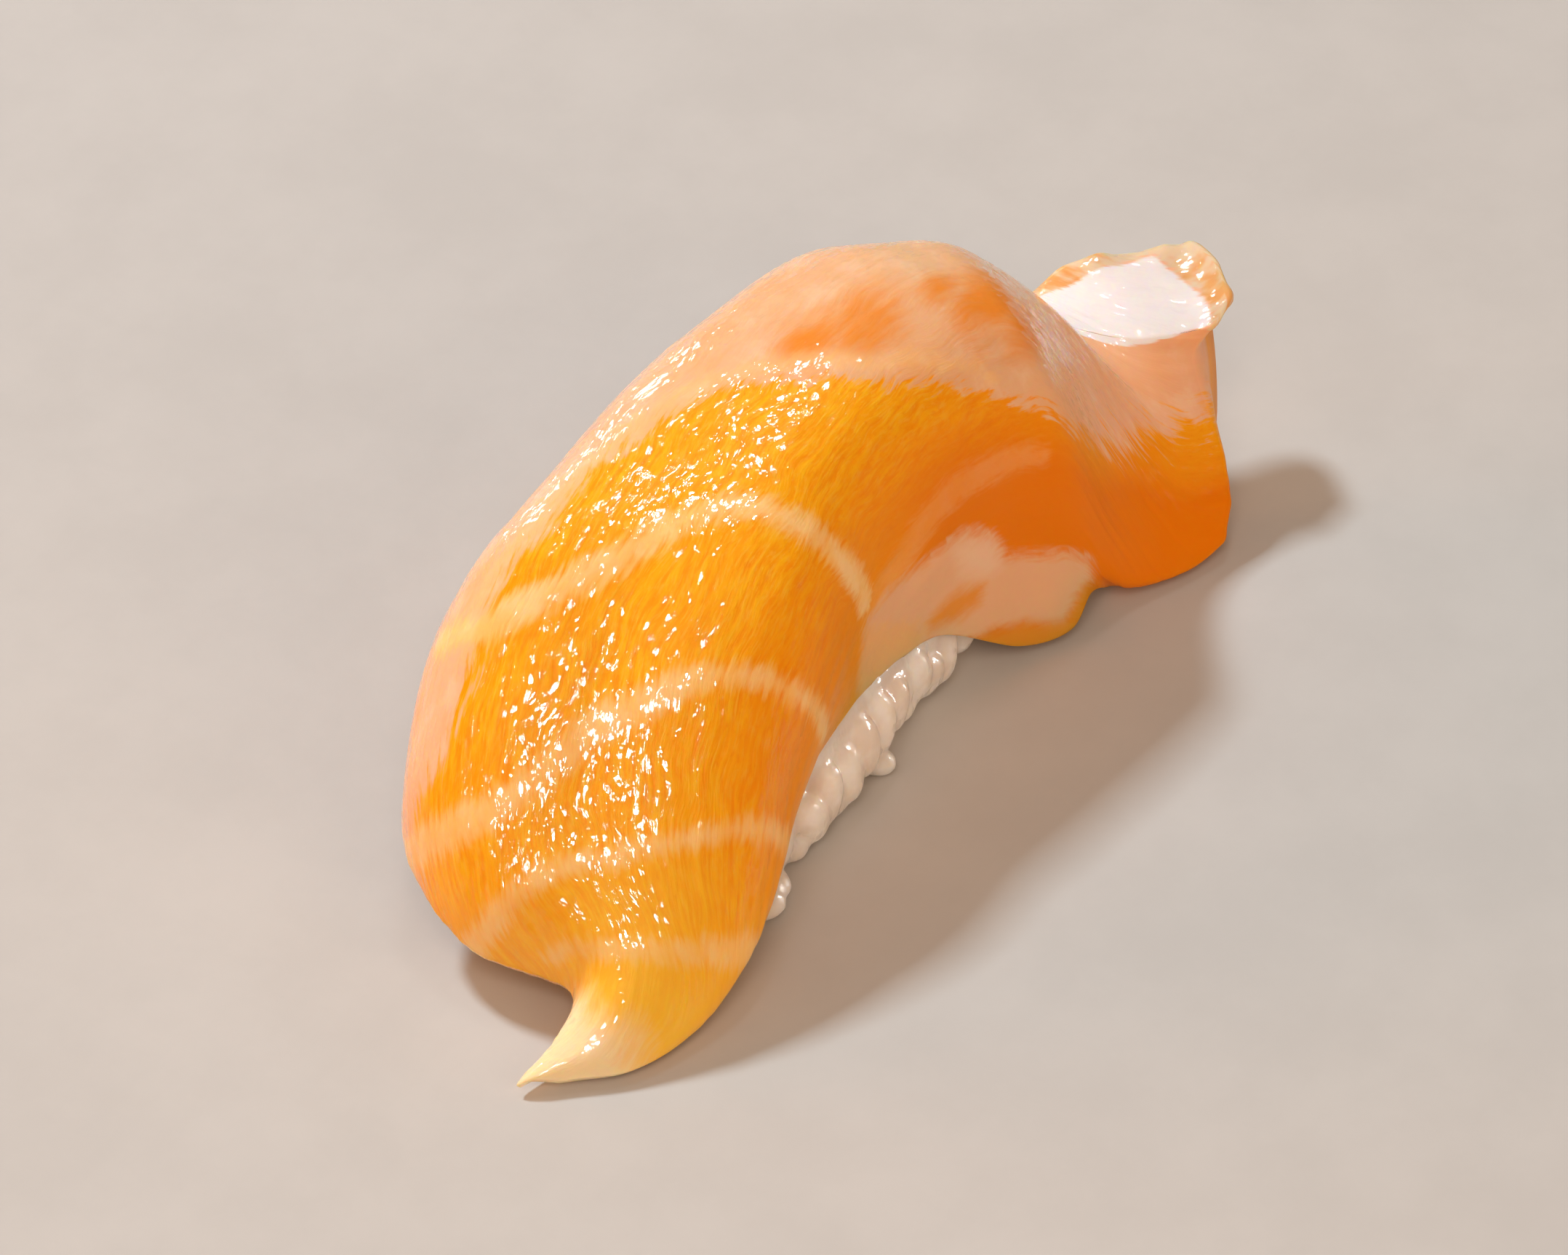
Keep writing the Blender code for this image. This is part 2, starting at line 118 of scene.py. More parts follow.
# Fat lines on the outer face: row number, place across (-1 left edge, 1 right edge), half width in mm.
FAT_LINES = (
    ((5.62, -0.60, 1.5), (5.50, -0.40, 1.5), (5.56, -0.30, 1.5), (5.65, -0.17, 1.4), (5.80, -0.08, 1.3),
     (5.97, -0.01, 1.3), (6.14, 0.04, 1.2), (6.33, 0.12, 1.2), (6.45, 0.22, 1.1), (6.49, 0.37, 1.1),
     (6.53, 0.48, 1.1), (6.59, 0.61, 1.2), (6.67, 0.74, 1.3), (6.93, 1.0, 1.5)),
    ((4.38, -1.0, 1.5), (4.01, -0.73, 1.6), (3.84, -0.55, 1.6), (3.83, -0.33, 1.4), (4.01, -0.16, 1.4),
     (4.22, -0.03, 1.5), (4.50, 0.07, 1.5), (4.74, 0.16, 1.4), (4.91, 0.24, 1.2), (5.08, 0.33, 1.1),
     (5.18, 0.41, 1.0), (5.30, 0.52, 0.9), (5.39, 0.63, 0.9), (5.50, 0.75, 0.9), (5.61, 0.86, 1.0),
     (5.75, 1.0, 1.1)),
    ((2.99, -1.0, 1.3), (2.92, -0.76, 1.1), (2.94, -0.48, 0.9), (3.00, -0.24, 0.8), (3.07, 0.03, 0.8),
     (3.26, 0.19, 0.8), (3.48, 0.36, 0.8), (3.76, 0.53, 0.8), (4.09, 0.69, 0.9), (4.62, 1.0, 1.0)),
    ((2.33, -0.75, 0.5), (2.28, -0.51, 0.7), (2.19, -0.27, 0.8), (2.21, 0.09, 0.8), (2.38, 0.46, 1.0),
     (2.64, 0.70, 1.3), (3.20, 1.0, 1.8)),
    ((5.33, -0.46, 0.6), (5.71, -0.43, 0.9), (6.04, -0.39, 1.0), (6.28, -0.33, 1.1), (6.63, -0.32, 1.1),
     (6.98, -0.25, 1.1), (7.31, -0.18, 1.1), (7.62, -0.06, 1.0), (7.90, 0.10, 1.0), (8.20, 0.28, 0.9),
     (8.70, 0.43, 0.8), (9.40, 0.55, 0.5)),
    ((6.90, 1.0, 1.8), (7.48, 0.96, 1.8), (7.84, 0.91, 1.8), (8.20, 0.87, 1.8), (8.64, 0.84, 1.6),
     (9.26, 0.81, 1.4), (10.16, 0.78, 1.0)),
)
# How strongly each of the lines shows.
FAT_STRENGTH = (0.90, 0.80, 0.72, 0.62, 0.40, 0.22)
# The orange blotches in the pink band: row number, place across, half length in mm.
BLOTCHES = ((8.1, 0.02, 2.4), (8.57, 0.13, 2.8), (9.6, 0.18, 1.8), (10.39, 0.28, 3.0), (10.97, 0.33, 2.6))
# Outlines on the right cut: row number, and place across, which is 1 + depth past the edge.
SIDE_OUTLINES = {
    "peach_side": (((6.86, 1.05), (7.04, 1.03), (7.42, 1.07), (7.82, 1.06), (8.18, 1.00), (8.42, 0.98),
                    (8.72, 1.00), (8.90, 1.10), (8.98, 1.18), (9.80, 1.15), (10.60, 1.06), (11.20, 1.00),
                    (11.10, 1.60), (9.92, 1.82), (9.12, 1.73), (8.64, 1.80), (8.26, 2.0), (7.00, 2.0),
                    (6.70, 1.50)),),
    "pale_side": (((6.78, 1.07), (7.30, 1.45), (7.82, 1.82), (7.60, 2.0), (6.40, 2.0), (6.52, 1.50)),),
    "knob": (((8.24, 1.10), (8.54, 1.02), (8.84, 1.10), (8.86, 1.27), (8.60, 1.37), (8.34, 1.33)),),
    "orange_side": (((8.38, 2.0), (8.64, 1.82), (9.12, 1.73), (9.92, 1.82), (11.0, 1.70), (10.2, 2.0)),
                    ((8.00, 1.62), (8.28, 1.48), (8.60, 1.42), (8.52, 1.58), (8.26, 1.75), (7.82, 1.87),
                     (7.82, 1.73))),
}
# The inner edge of the pink skin-side fat along the left of the slice: row number, place across.
SKIN_EDGE = (
    (3.75, -1.0), (4.0, -0.93), (4.42, -0.80), (4.55, -0.62), (4.77, -0.53), (5.10, -0.46), (5.33, -0.41),
    (5.71, -0.38), (6.04, -0.34), (6.28, -0.28), (6.63, -0.27), (6.98, -0.19), (7.31, -0.12), (7.54, 0.0),
    (7.76, 0.16), (8.03, 0.34), (8.50, 0.49), (9.32, 0.60), (10.77, 0.65), (11.81, 0.57), (12.60, 0.35),
    (13.23, -0.06), (13.73, -0.15), (14.0, -0.2),
)


# Shape of the slice.


def spline(values, t):
    """A smooth curve through values, which stand at t = 0, 1, 2 and so on."""
    values = np.asarray(values, float)
    ends = np.concatenate([2 * values[:1] - values[1:2], values, 2 * values[-1:] - values[-2:-1]])
    start = np.clip(np.floor(t).astype(int), 0, len(values) - 2)
    f = (t - start).reshape(np.shape(t) + (1,) * (values.ndim - 1))
    a, b, c, d = (ends[start + k] for k in range(4))
    return 0.5 * (2 * b + (c - a) * f + (2 * a - 5 * b + 4 * c - d) * f**2 + (3 * b - a - 3 * c + d) * f**3)


def drape(rows, right_sideways, right_down, t, w):
    """Points of a face through the rows: t counts them, w runs from -1 at the left edge to 1."""
    left, crown, right = (spline(rows[:, k], t) for k in range(3))
    towards = np.where((w < 0)[..., None], left, right) - crown
    reach = np.abs(w)
    sideways = np.where(w < 0, spline(LEFT_SIDEWAYS, t), spline(right_sideways, t))
    down = np.where(w < 0, spline(LEFT_DOWN, t), spline(right_down, t))
    across = 1 - (1 - reach) ** sideways
    return crown + towards * np.stack([across, across, reach**down], -1)


def outer_face(t, w):
    """Points of the slice's top and sides."""
    return drape(SLICE_ROWS, RIGHT_SIDEWAYS, RIGHT_DOWN, t, w)


def under_rows():
    """The rows of the under side, which follows the outer face at the slice's thickness."""
    number = np.arange(LAST_ROW + 1, dtype=float)
    half = np.full(LAST_ROW + 1, 0.5)
    across = outer_face(number, half) - outer_face(number, -half)
    normal = np.cross(across, np.gradient(SLICE_ROWS[:, 1], axis=0))
    normal = normal / np.linalg.norm(normal, axis=-1, keepdims=True)
    crown = SLICE_ROWS[:, 1] - normal * np.array(THICKNESS)[:, None]
    return np.stack([SLICE_ROWS[:, 0] + LEFT_CUT, crown, SLICE_ROWS[:, 2] + RIGHT_CUT], 1)


def uneven_end(t, w, depth):
    """Stretches t near the tail, so that the end follows its outline."""
    place = (w + 1) * (len(END_OUTER) - 1) / 2
    reach = spline(END_OUTER, place) * (1 - depth) + spline(END_UNDER, place) * depth
    corner = np.clip(-4 * (w + 0.75), 0, 1)
    reach = reach + END_CORNER_BULGE * corner * np.sin(math.pi * depth)
    near = np.clip((t - END_FROM_ROW) / (LAST_ROW - END_FROM_ROW), 0, 1)
    return t + reach * near**2


def slice_point(t, w, depth):
    """A point in the slice: depth 0 is the outer face and 1 the under side."""
    t = uneven_end(t, w, depth)
    face = outer_face(t, w)
    under = drape(under_rows(), UNDER_SIDEWAYS, UNDER_DOWN, t, w)
    point = face + (under - face) * depth[..., None]
    point[..., 2] = np.maximum(point[..., 2], FLOOR_CLEARANCE + 0.3 * (1 - depth))
    return point


# Noise and small helpers.


def smooth_step(low, high, x):
    """0 at low and 1 at high, smooth between them. Either may be the greater."""
    x = np.clip((x - low) / (high - low), 0, 1)
    return x * x * (3 - 2 * x)


def noise(points, size, seed):
    """Smooth noise from -1 to 1 over points in mm, with lumps of about the given size."""
    rng = np.random.default_rng(seed)
    table = rng.random(4096) * 2 - 1
    q = points / np.asarray(size, float)
    cell = np.floor(q).astype(np.int64)
    f = q - cell
    f = f * f * (3 - 2 * f)
    total = np.zeros(len(points))
    for corner in range(8):
        step = np.array([corner & 1, corner >> 1 & 1, corner >> 2 & 1])
        c = cell + step
        value = table[(c[:, 0] * 73856093 ^ c[:, 1] * 19349663 ^ c[:, 2] * 83492791) & 4095]
        total += value * np.prod(np.where(step, f, 1 - f), axis=1)
    return total


def store(mesh, name, kind, values):
    """Keeps one value or vector for each vertex, which the material reads by name."""
    layer = mesh.attributes.new(name, kind, "POINT")
    key = "vector" if kind == "FLOAT_VECTOR" else "value"
    layer.data.foreach_set(key, np.ascontiguousarray(values, dtype=np.float32).ravel())


def new_object(name, mesh, material):
    """A piece of the one body, smooth and in its material."""
    obj = bpy.data.objects.new(name, mesh)
    bpy.context.scene.collection.objects.link(obj)
    mesh.materials.append(material)
    mesh.shade_smooth()
    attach(obj, "root")
    return obj


# Materials.

# The wet film's relief, in mm.
BEAD_HEIGHT = 0.035
RIPPLE_HEIGHT = 0.16
THREAD_HEIGHT = 0.012
SPECK_HEIGHT = 0.008
# How deep the fibres are under the film, and how far they wander to the side, in mm.
FIBRE_DEPTH = 0.4
FIBRE_WANDER = 2.2
# How close the patterns are: lumps to a millimetre along, across and through the slice.
FIBRES_PER_MM = (0.30, 1.9, 0.6)
THREADS_PER_MM = (0.60, 4.4, 1.0)
FLECKS_PER_MM = (0.9, 1.9, 1.0)
BEADS_PER_MM = (1.25, 2.6, 1.0)
FACETS_PER_MM = (1.5, 2.7, 1.0)
RIPPLES_PER_MM = 0.45
MOTTLE_PER_MM = 0.30
WANDER_PER_MM = 0.16
CLOUDS_PER_MM = 0.10
RICE_CLOUDS_PER_METRE = 300.0
RICE_SPECKS_PER_METRE = (2600.0, 2600.0, 900.0)
RICE_FACETS_PER_METRE = (2200.0, 2200.0, 700.0)
# How far the film's facets tilt.
FACET_TILT = 0.26
RICE_FACET_TILT = 0.35

FLESH_DARK = (0.94, 0.335, 0.002)
FLESH_LIGHT = (1.0, 0.490, 0.008)
FLESH_MOTTLED = (0.98, 0.400, 0.002)
FLESH_THREAD = (1.0, 0.60, 0.06)
FLESH_FLECK = (1.0, 0.53, 0.06)
FLESH_PIT = (0.88, 0.26, 0.002)
FLESH_FRONT = (1.0, 0.60, 0.06)
# Darker orange, laid on as painted shade low on the right, in the valley and at the tail.
FLESH_PAINTED_SHADE = (0.80, 0.190, 0.001)
FLESH_RIM = (0.98, 0.46, 0.16)
# The tail's end face, darkened as painted shade.
FLESH_END_SHADE = (0.72, 0.26, 0.03)
FAT = ((1.0, 0.57, 0.19), (1.0, 0.67, 0.31))
SKIN = ((0.82, 0.50, 0.28), (0.86, 0.48, 0.30))
SKIN_FIBRE = (0.82, 0.38, 0.13)
SKIN_MOTTLED = (0.90, 0.64, 0.44)
SKIN_CLOUD = (0.86, 0.36, 0.10)
BLOTCH = (0.84, 0.25, 0.004)
WHITE_FAT = (0.84, 0.80, 0.82)
MEMBRANE = ((0.76, 0.60, 0.42), (0.74, 0.38, 0.14))
# Zones laid over the flesh, one after the other: name, half width of the border, how far fibres
# feather it, strength, colour.
ZONE_TINTS = (
    ("tip", 0.30, 0.5, 0.9, (0.98, 0.76, 0.50)),
    ("peach_side", 0.22, 0.6, 0.95, (0.80, 0.47, 0.28)),
    ("pale_side", 0.25, 0.5, 0.9, (0.86, 0.46, 0.19)),
    ("knob", 0.30, 0.4, 0.9, (0.84, 0.56, 0.38)),
    ("orange_side", 0.22, 0.4, 0.9, (0.80, 0.29, 0.03)),
)
SALMON_SHADER = {
    "Roughness": 0.42,
    "Specular IOR Level": 0.05,
    "Subsurface Weight": 0.5,
    "Subsurface Radius": (1.0, 0.30, 0.06),
    "Subsurface Scale": 0.0024,
    "Coat Roughness": 0.035,
    "Coat IOR": 1.40,
}
RICE_COLOURS = ((0.77, 0.68, 0.62), (0.91, 0.87, 0.84))
RICE_SHADER = {
    "Roughness": 0.38,
    "Specular IOR Level": 0.1,
    "Subsurface Weight": 0.9,
    "Subsurface Radius": (1.0, 0.75, 0.5),
    "Subsurface Scale": 0.0050,
    "Coat Weight": 0.6,
    "Coat Roughness": 0.08,
    "Coat IOR": 1.4,
}
FLOOR_COLOURS = ((0.505, 0.495, 0.485), (0.535, 0.525, 0.515))


class Nodes:
    """A short way to write a material's nodes."""

    def __init__(self, name):
        self.material = bpy.data.materials.new(name)
        self.material.use_nodes = True
        self.tree = self.material.node_tree
        self.shader = self.tree.nodes["Principled BSDF"]

    def set(self, socket, value):
        if isinstance(value, bpy.types.NodeSocket):
            self.tree.links.new(value, socket)
        else:
            socket.default_value = value

    def add(self, kind, out=0, settings=(), **inputs):
        """One output of a new node. Its inputs go by name, or by number as i0, i1 and so on."""
        node = self.tree.nodes.new(kind)
        for key, value in settings:
            setattr(node, key, value)
        for key, value in inputs.items():
            index = int(key[1:]) if key[0] == "i" and key[1:].isdigit() else key.replace("_", " ")
            self.set(node.inputs[index], value)
        return node.outputs[out]

    def attribute(self, name, out="Fac"):
        node = self.tree.nodes.new("ShaderNodeAttribute")
        node.attribute_name = name
        return node.outputs[out]

    def math(self, operation, a, b=0.0):
        return self.add("ShaderNodeMath", settings=(("operation", operation),), i0=a, i1=b)

    def vector(self, operation, *values):
        inputs = {f"i{k}": value for k, value in enumerate(values)}
        return self.add("ShaderNodeVectorMath", settings=(("operation", operation),), **inputs)

    def noise(self, vector, scale, detail=2.0, roughness=0.5):
        return self.add(
            "ShaderNodeTexNoise", Vector=vector, Scale=scale, Detail=detail, Roughness=roughness
        )

    def stretch(self, vector, scale):
        return self.vector("MULTIPLY", vector, scale)

    def mix(self, factor, a, b):
        node = self.tree.nodes.new("ShaderNodeMix")
        node.data_type = "RGBA"
        self.set(node.inputs["Factor"], factor)
        self.set(node.inputs["A"], a if isinstance(a, bpy.types.NodeSocket) else (*a, 1.0))
        self.set(node.inputs["B"], b if isinstance(b, bpy.types.NodeSocket) else (*b, 1.0))
        return node.outputs["Result"]

    def ramp(self, value, low, high, to_low=0.0, to_high=1.0):
        """A smooth step from to_low at low to to_high at high."""
        node = self.tree.nodes.new("ShaderNodeMapRange")
        node.interpolation_type = "SMOOTHSTEP"
        names = ("Value", "From Min", "From Max", "To Min", "To Max")
        for name, number in zip(names, (value, low, high, to_low, to_high)):
            self.set(node.inputs[name], number)
        return node.outputs["Result"]

    def bump(self, height, strength, distance):
        node = self.tree.nodes.new("ShaderNodeBump")
        node.inputs["Strength"].default_value = strength
        node.inputs["Distance"].default_value = distance
        self.set(node.inputs["Height"], height)
        return node.outputs["Normal"]

    def shade(self, settings):
        for key, value in settings.items():
            self.shader.inputs[key].default_value = value


def sparkle(n, place, normal, most):
    """Breaks a wet film into small facets, each tilted at random."""
    cells = n.add("ShaderNodeTexVoronoi", out="Color", Vector=place, Scale=1.0)
    tilt = n.vector("SUBTRACT", cells, (0.5, 0.5, 0.5))
    return n.vector("NORMALIZE", n.vector("MULTIPLY_ADD", tilt, (most, most, most), normal))


def tint(n, base, name, softness, feather, feathering, strength, colour):
    """Lays a colour over a zone, whose border is soft and feathered by the fibres."""
    value = n.math("ADD", n.attribute(name), n.math("MULTIPLY", feather, feathering))
    mask = n.ramp(value, 0.5 - softness, 0.5 + softness)
    return n.mix(n.math("MULTIPLY", mask, strength), base, colour)


def flesh_colour(n, fibres, threads, mottle, flecks):
    """The orange flesh: pale and dark fibres, yellower in front, with painted shade low on the right, in
    the valley and at the tail.
    """
    flesh = n.mix(n.ramp(fibres, 0.35, 0.66), FLESH_DARK, FLESH_LIGHT)
    flesh = n.mix(n.ramp(mottle, 0.40, 0.62, 0.0, 0.6), flesh, FLESH_MOTTLED)
    flesh = n.mix(n.ramp(threads, 0.50, 0.68, 0.0, 0.34), flesh, FLESH_THREAD)
    flesh = n.mix(n.ramp(flecks, 0.52, 0.68, 0.0, 0.30), flesh, FLESH_FLECK)
    flesh = n.mix(n.ramp(flecks, 0.30, 0.45, 0.35, 0.0), flesh, FLESH_PIT)
    flesh = n.mix(n.attribute("front"), flesh, FLESH_FRONT)
    flesh = n.mix(n.attribute("painted_shade"), flesh, FLESH_PAINTED_SHADE)
    return n.mix(n.attribute("rim"), flesh, FLESH_RIM)


def skin_colour(n, place, fibres, mottle, feather):
    """The pink fat on the skin side, with its clouds and orange blotches."""
    skin = n.mix(n.attribute("rosy"), *SKIN)
    skin = n.mix(n.ramp(fibres, 0.45, 0.7, 0.0, 0.22), skin, SKIN_FIBRE)
    skin = n.mix(n.ramp(mottle, 0.50, 0.7, 0.0, 0.45), skin, SKIN_MOTTLED)
    clouds = n.noise(place, CLOUDS_PER_MM, 2.0)
    skin = n.mix(n.ramp(clouds, 0.45, 0.70, 0.0, 0.40), skin, SKIN_CLOUD)
    return tint(n, skin, "blotch", 0.36, feather, 0.5, 0.9, BLOTCH)


def film_height(n, place, shifted, threads, flecks):
    """The relief of the wet film, in mm."""
    beads = n.noise(n.stretch(shifted, BEADS_PER_MM), 1.0, 2.0, 0.5)
    ripples = n.noise(place, RIPPLES_PER_MM, 2.0)
    specks = n.ramp(flecks, 0.58, 0.72)
    height = n.math("MULTIPLY", beads, BEAD_HEIGHT)
    for pattern, reach in ((ripples, RIPPLE_HEIGHT), (threads, THREAD_HEIGHT), (specks, SPECK_HEIGHT)):
        height = n.math("ADD", height, n.math("MULTIPLY", pattern, reach))
    return height


def salmon_material():
    """Wet raw salmon. Its patterns lie in mm along, across and through the slice."""
    n = Nodes("salmon_flesh")
    place = n.attribute("fibre_place", "Vector")
    aside = n.add("ShaderNodeCombineXYZ", X=0.0, Y=n.noise(place, WANDER_PER_MM, 1.0), Z=0.0)
    shifted = n.vector("MULTIPLY_ADD", aside, (0.0, FIBRE_WANDER, 0.0), place)
    fibres = n.noise(n.stretch(shifted, FIBRES_PER_MM), 1.0, 3.0, 0.6)
    threads = n.noise(n.stretch(shifted, THREADS_PER_MM), 1.0, 2.0, 0.55)
    mottle = n.noise(place, MOTTLE_PER_MM, 3.0, 0.6)
    flecks = n.noise(n.stretch(shifted, FLECKS_PER_MM), 1.0, 3.0, 0.65)
    feather = n.math("MULTIPLY", n.math("SUBTRACT", fibres, 0.5), 0.8)
    feather = n.math("ADD", feather, n.math("MULTIPLY", n.math("SUBTRACT", mottle, 0.5), 0.35))

    calm = n.attribute("calm")
    fibres = n.add("ShaderNodeMix", i0=calm, i2=fibres, i3=0.5)
    threads = n.add("ShaderNodeMix", i0=calm, i2=threads, i3=0.5)
    colour = flesh_colour(n, fibres, threads, mottle, flecks)
    skin = skin_colour(n, place, fibres, mottle, feather)
    colour = tint(n, colour, "skin", 0.09, feather, 1.0, 1.0, skin)
    fat = n.mix(n.ramp(mottle, 0.35, 0.65), *FAT)
    colour = tint(n, colour, "fat", 0.24, feather, 1.0, n.attribute("fat_strength"), fat)
    for name, softness, feathering, strength, over in ZONE_TINTS:
        colour = tint(n, colour, name, softness, feather, feathering, strength, over)
    colour = tint(n, colour, "white_side", 0.07, feather, 0.5, n.attribute("white_fade"), WHITE_FAT)
    membrane = n.mix(n.ramp(mottle, 0.42, 0.6), *MEMBRANE)
    colour = tint(n, colour, "membrane", 0.12, feather, 0.8, 1.0, membrane)
    n.set(n.shader.inputs["Base Color"], n.mix(n.attribute("shaded_end"), colour, FLESH_END_SHADE))

    film = n.bump(film_height(n, place, shifted, threads, flecks), 1.0, MM)
    facets = n.stretch(shifted, FACETS_PER_MM)
    n.set(n.shader.inputs["Normal"], n.bump(fibres, 0.25, FIBRE_DEPTH * MM))
    n.set(n.shader.inputs["Coat Normal"], sparkle(n, facets, film, FACET_TILT))
    n.set(n.shader.inputs["Coat Weight"], n.ramp(n.attribute("wet"), 0.0, 1.0, 0.12, 1.0))
    n.shade(SALMON_SHADER)
    return n.material


def rice_material():
    """Moist cooked rice, with patterns in metres."""
    n = Nodes("rice_cooked")
    place = n.add("ShaderNodeTexCoord", out="Object")
    cloud = n.noise(place, RICE_CLOUDS_PER_METRE, 3.0)
    specks = n.noise(n.stretch(place, RICE_SPECKS_PER_METRE), 1.0, 2.0)
    n.set(n.shader.inputs["Base Color"], n.mix(n.ramp(cloud, 0.35, 0.65), *RICE_COLOURS))
    height = n.math("ADD", n.math("MULTIPLY", cloud, 0.12), n.math("MULTIPLY", specks, 0.03))
    normal = n.bump(height, 1.0, MM)
    n.set(n.shader.inputs["Normal"], normal)
    facets = n.stretch(place, RICE_FACETS_PER_METRE)
    n.set(n.shader.inputs["Coat Normal"], sparkle(n, facets, normal, RICE_FACET_TILT))
    n.shade(RICE_SHADER)
    return n.material


# The salmon slice.

# How many vertices run along the slice, across its outer face and its under side, down a cut and
# round a corner.
ROWS = 400
ACROSS_OUTER = 136
ACROSS_UNDER = 34
DOWN_CUT = 22
ROUND_CORNER = 6
# Below 1, the vertices crowd less towards the edges.
FACE_SPREAD = 0.94
# The rounding of the long edges, as shares of the half width and of the thickness.
EDGE_CHAMFER = 0.035
CORNER_DEPTH = 0.14
# The rounding of both ends: how far they bulge, in mm, and the shares of the thickness and width
# that they lose.
END_PUSH = 0.7
END_THINNING = 0.45
END_NARROWING = 0.04
# The width, in mm, over which a zone goes from 0 to 1.
FAT_BORDER = 3.2
SKIN_BORDER = 6.0
SKIN_BORDER_AT_TAIL = 15.0
OUTLINE_BORDER = 4.0
# The thickness that the fibres' pattern takes the slice to have, in mm.
PATTERN_THICKNESS = 5
# Steps between two given places of a curve and of an outline.
CURVE_STEPS = 24
OUTLINE_STEPS = 12


def section_path():
    """(w, depth) round one cross section: outer face, right cut, under side, left cut."""
    quarter = math.pi / 2
    widest = math.sin(quarter * FACE_SPREAD)
    face = np.sin(np.linspace(-quarter, quarter, ACROSS_OUTER) * FACE_SPREAD) / widest
    under = np.sin(np.linspace(quarter, -quarter, ACROSS_UNDER) * FACE_SPREAD) / widest
    turn = np.linspace(0, quarter, ROUND_CORNER)[1:]
    corner_w = 1 - EDGE_CHAMFER * (1 - np.sin(turn))
    corner_depth = CORNER_DEPTH * (1 - np.cos(turn))
    middle = np.linspace(CORNER_DEPTH, 1 - CORNER_DEPTH, DOWN_CUT)[1:-1]
    w_edge = np.concatenate([corner_w, np.ones(len(middle)), corner_w[::-1]])
    depth_edge = np.concatenate([corner_depth, middle, 1 - corner_depth[::-1]])
    w = np.concatenate([face * (1 - EDGE_CHAMFER), w_edge, under * (1 - EDGE_CHAMFER), -w_edge])
    depth = np.concatenate([np.zeros(ACROSS_OUTER), depth_edge, np.ones(ACROSS_UNDER), depth_edge[::-1]])
    return w, depth


def end_rings(w, depth, end, inside, steps=5):
    """Rings that close an end in a quarter round."""
    rings = []
    for turn in np.linspace(0, math.pi / 2, steps + 1)[1:]:
        rounding = 1 - math.cos(turn)
        squeezed = 0.5 + (depth - 0.5) * (1 - END_THINNING * rounding)
        width = w * (1 - END_NARROWING * rounding)
        ring = slice_point(np.full(len(w), end), width, squeezed)
        outwards = ring - slice_point(np.full(len(w), inside), width, squeezed)
        outwards = outwards / np.linalg.norm(outwards, axis=-1, keepdims=True)
        rings.append(ring + outwards * END_PUSH * math.sin(turn))
    return rings


def line_place(points):
    """A closely stepped curve through (row, across, ...) values."""
    points = np.array(points, float)
    return spline(points, np.linspace(0, len(points) - 1, CURVE_STEPS * (len(points) - 1)))


def nearest(points, targets):
    """Distance from each point to its nearest target, and which target that is."""
    tree = KDTree(len(targets))
    for i, target in enumerate(targets):
        tree.insert(target, i)
    tree.balance()
    found = [tree.find(point) for point in points]
    return np.array([f[2] for f in found]), np.array([f[1] for f in found])


def fat_zones(points, depth):
    """The pale lines on the outer face: where they lie, and how strongly each one shows."""
    place = np.zeros(len(points))
    strength = np.zeros(len(points))
    for line, shows in zip(FAT_LINES, FAT_STRENGTH):
        curve = line_place(line)
        reach, index = nearest(points, outer_face(curve[:, 0], np.clip(curve[:, 1], -1, 1)))
        value = np.clip(0.5 + (0.8 * curve[index, 2] - reach) / FAT_BORDER, 0, 1)
        strength = np.where(value > place, shows, strength)
        place = np.maximum(place, value)
    return place * np.clip(1 - depth * 0.8, 0, 1), strength


def skin_zones(points, t, w, depth):
    """The pink band along the left of the outer face, its colours and the orange blotches in it."""
    outer = (depth < 0.16).astype(float)
    edge = line_place(SKIN_EDGE)
    reach, _ = nearest(points, outer_face(edge[:, 0], np.clip(edge[:, 1], -1, 1)))
    order = np.argsort(edge[:, 0])
    border = np.interp(t, edge[order, 0], edge[order, 1], left=-1.4)
    side = np.where(w < border, 1.0, -1.0)
    softer = SKIN_BORDER_AT_TAIL - SKIN_BORDER
    skin = np.clip(0.5 + side * reach / (SKIN_BORDER + softer * smooth_step(10.5, 12.5, t)), 0, 1) * outer
    skin = np.maximum(skin, smooth_step(-0.9, -0.96, w) * (depth > 0.02))

    far_left = smooth_step(-0.2, -0.9, w)
    tail = smooth_step(10.5, 12.2, t)
    rosy = 0.25 + 0.20 * far_left * (1 - tail) + 0.60 * tail + 0.25 * noise(points, 5, 3)

    blotch = np.zeros(len(points))
    for row, across, size in BLOTCHES:
        centre = outer_face(np.array([row]), np.array([across]))[0]
        away = np.linalg.norm((points - centre) * (0.6, 1.0, 1.0), axis=1)
        blotch = np.maximum(blotch, 1 - away / (2 * size))
    blotch = np.clip(blotch + 0.18 * noise(points, (3.0, 1.6, 1.8), 5) - 0.10, 0, 1) * outer
    return {"skin": skin, "rosy": np.clip(rosy, 0, 1), "blotch": blotch}


def outline_zone(points, t, place, outline):
    """0.5 on an outline and more inside it. Its places are across up to 1, then 1 + depth on the cut."""
    corners = np.array(outline, float)
    following = np.roll(corners, -1, axis=0)
    sides = [np.linspace(a, b, OUTLINE_STEPS, endpoint=False) for a, b in zip(corners, following)]
    path = np.concatenate(sides)
    across, down = np.minimum(path[:, 1], 1.0), np.maximum(path[:, 1] - 1, 0)
    reach, _ = nearest(points, slice_point(path[:, 0], across, down))
    inside = np.zeros(len(points), bool)
    for (t0, p0), (t1, p1) in zip(corners, following):
        if p0 != p1:
            crossing = t0 + (place - p0) / (p1 - p0) * (t1 - t0)
            inside ^= ((p0 > place) != (p1 > place)) & (t < crossing)
    return np.clip(0.5 + np.where(inside, 1, -1) * reach / OUTLINE_BORDER, 0, 1)


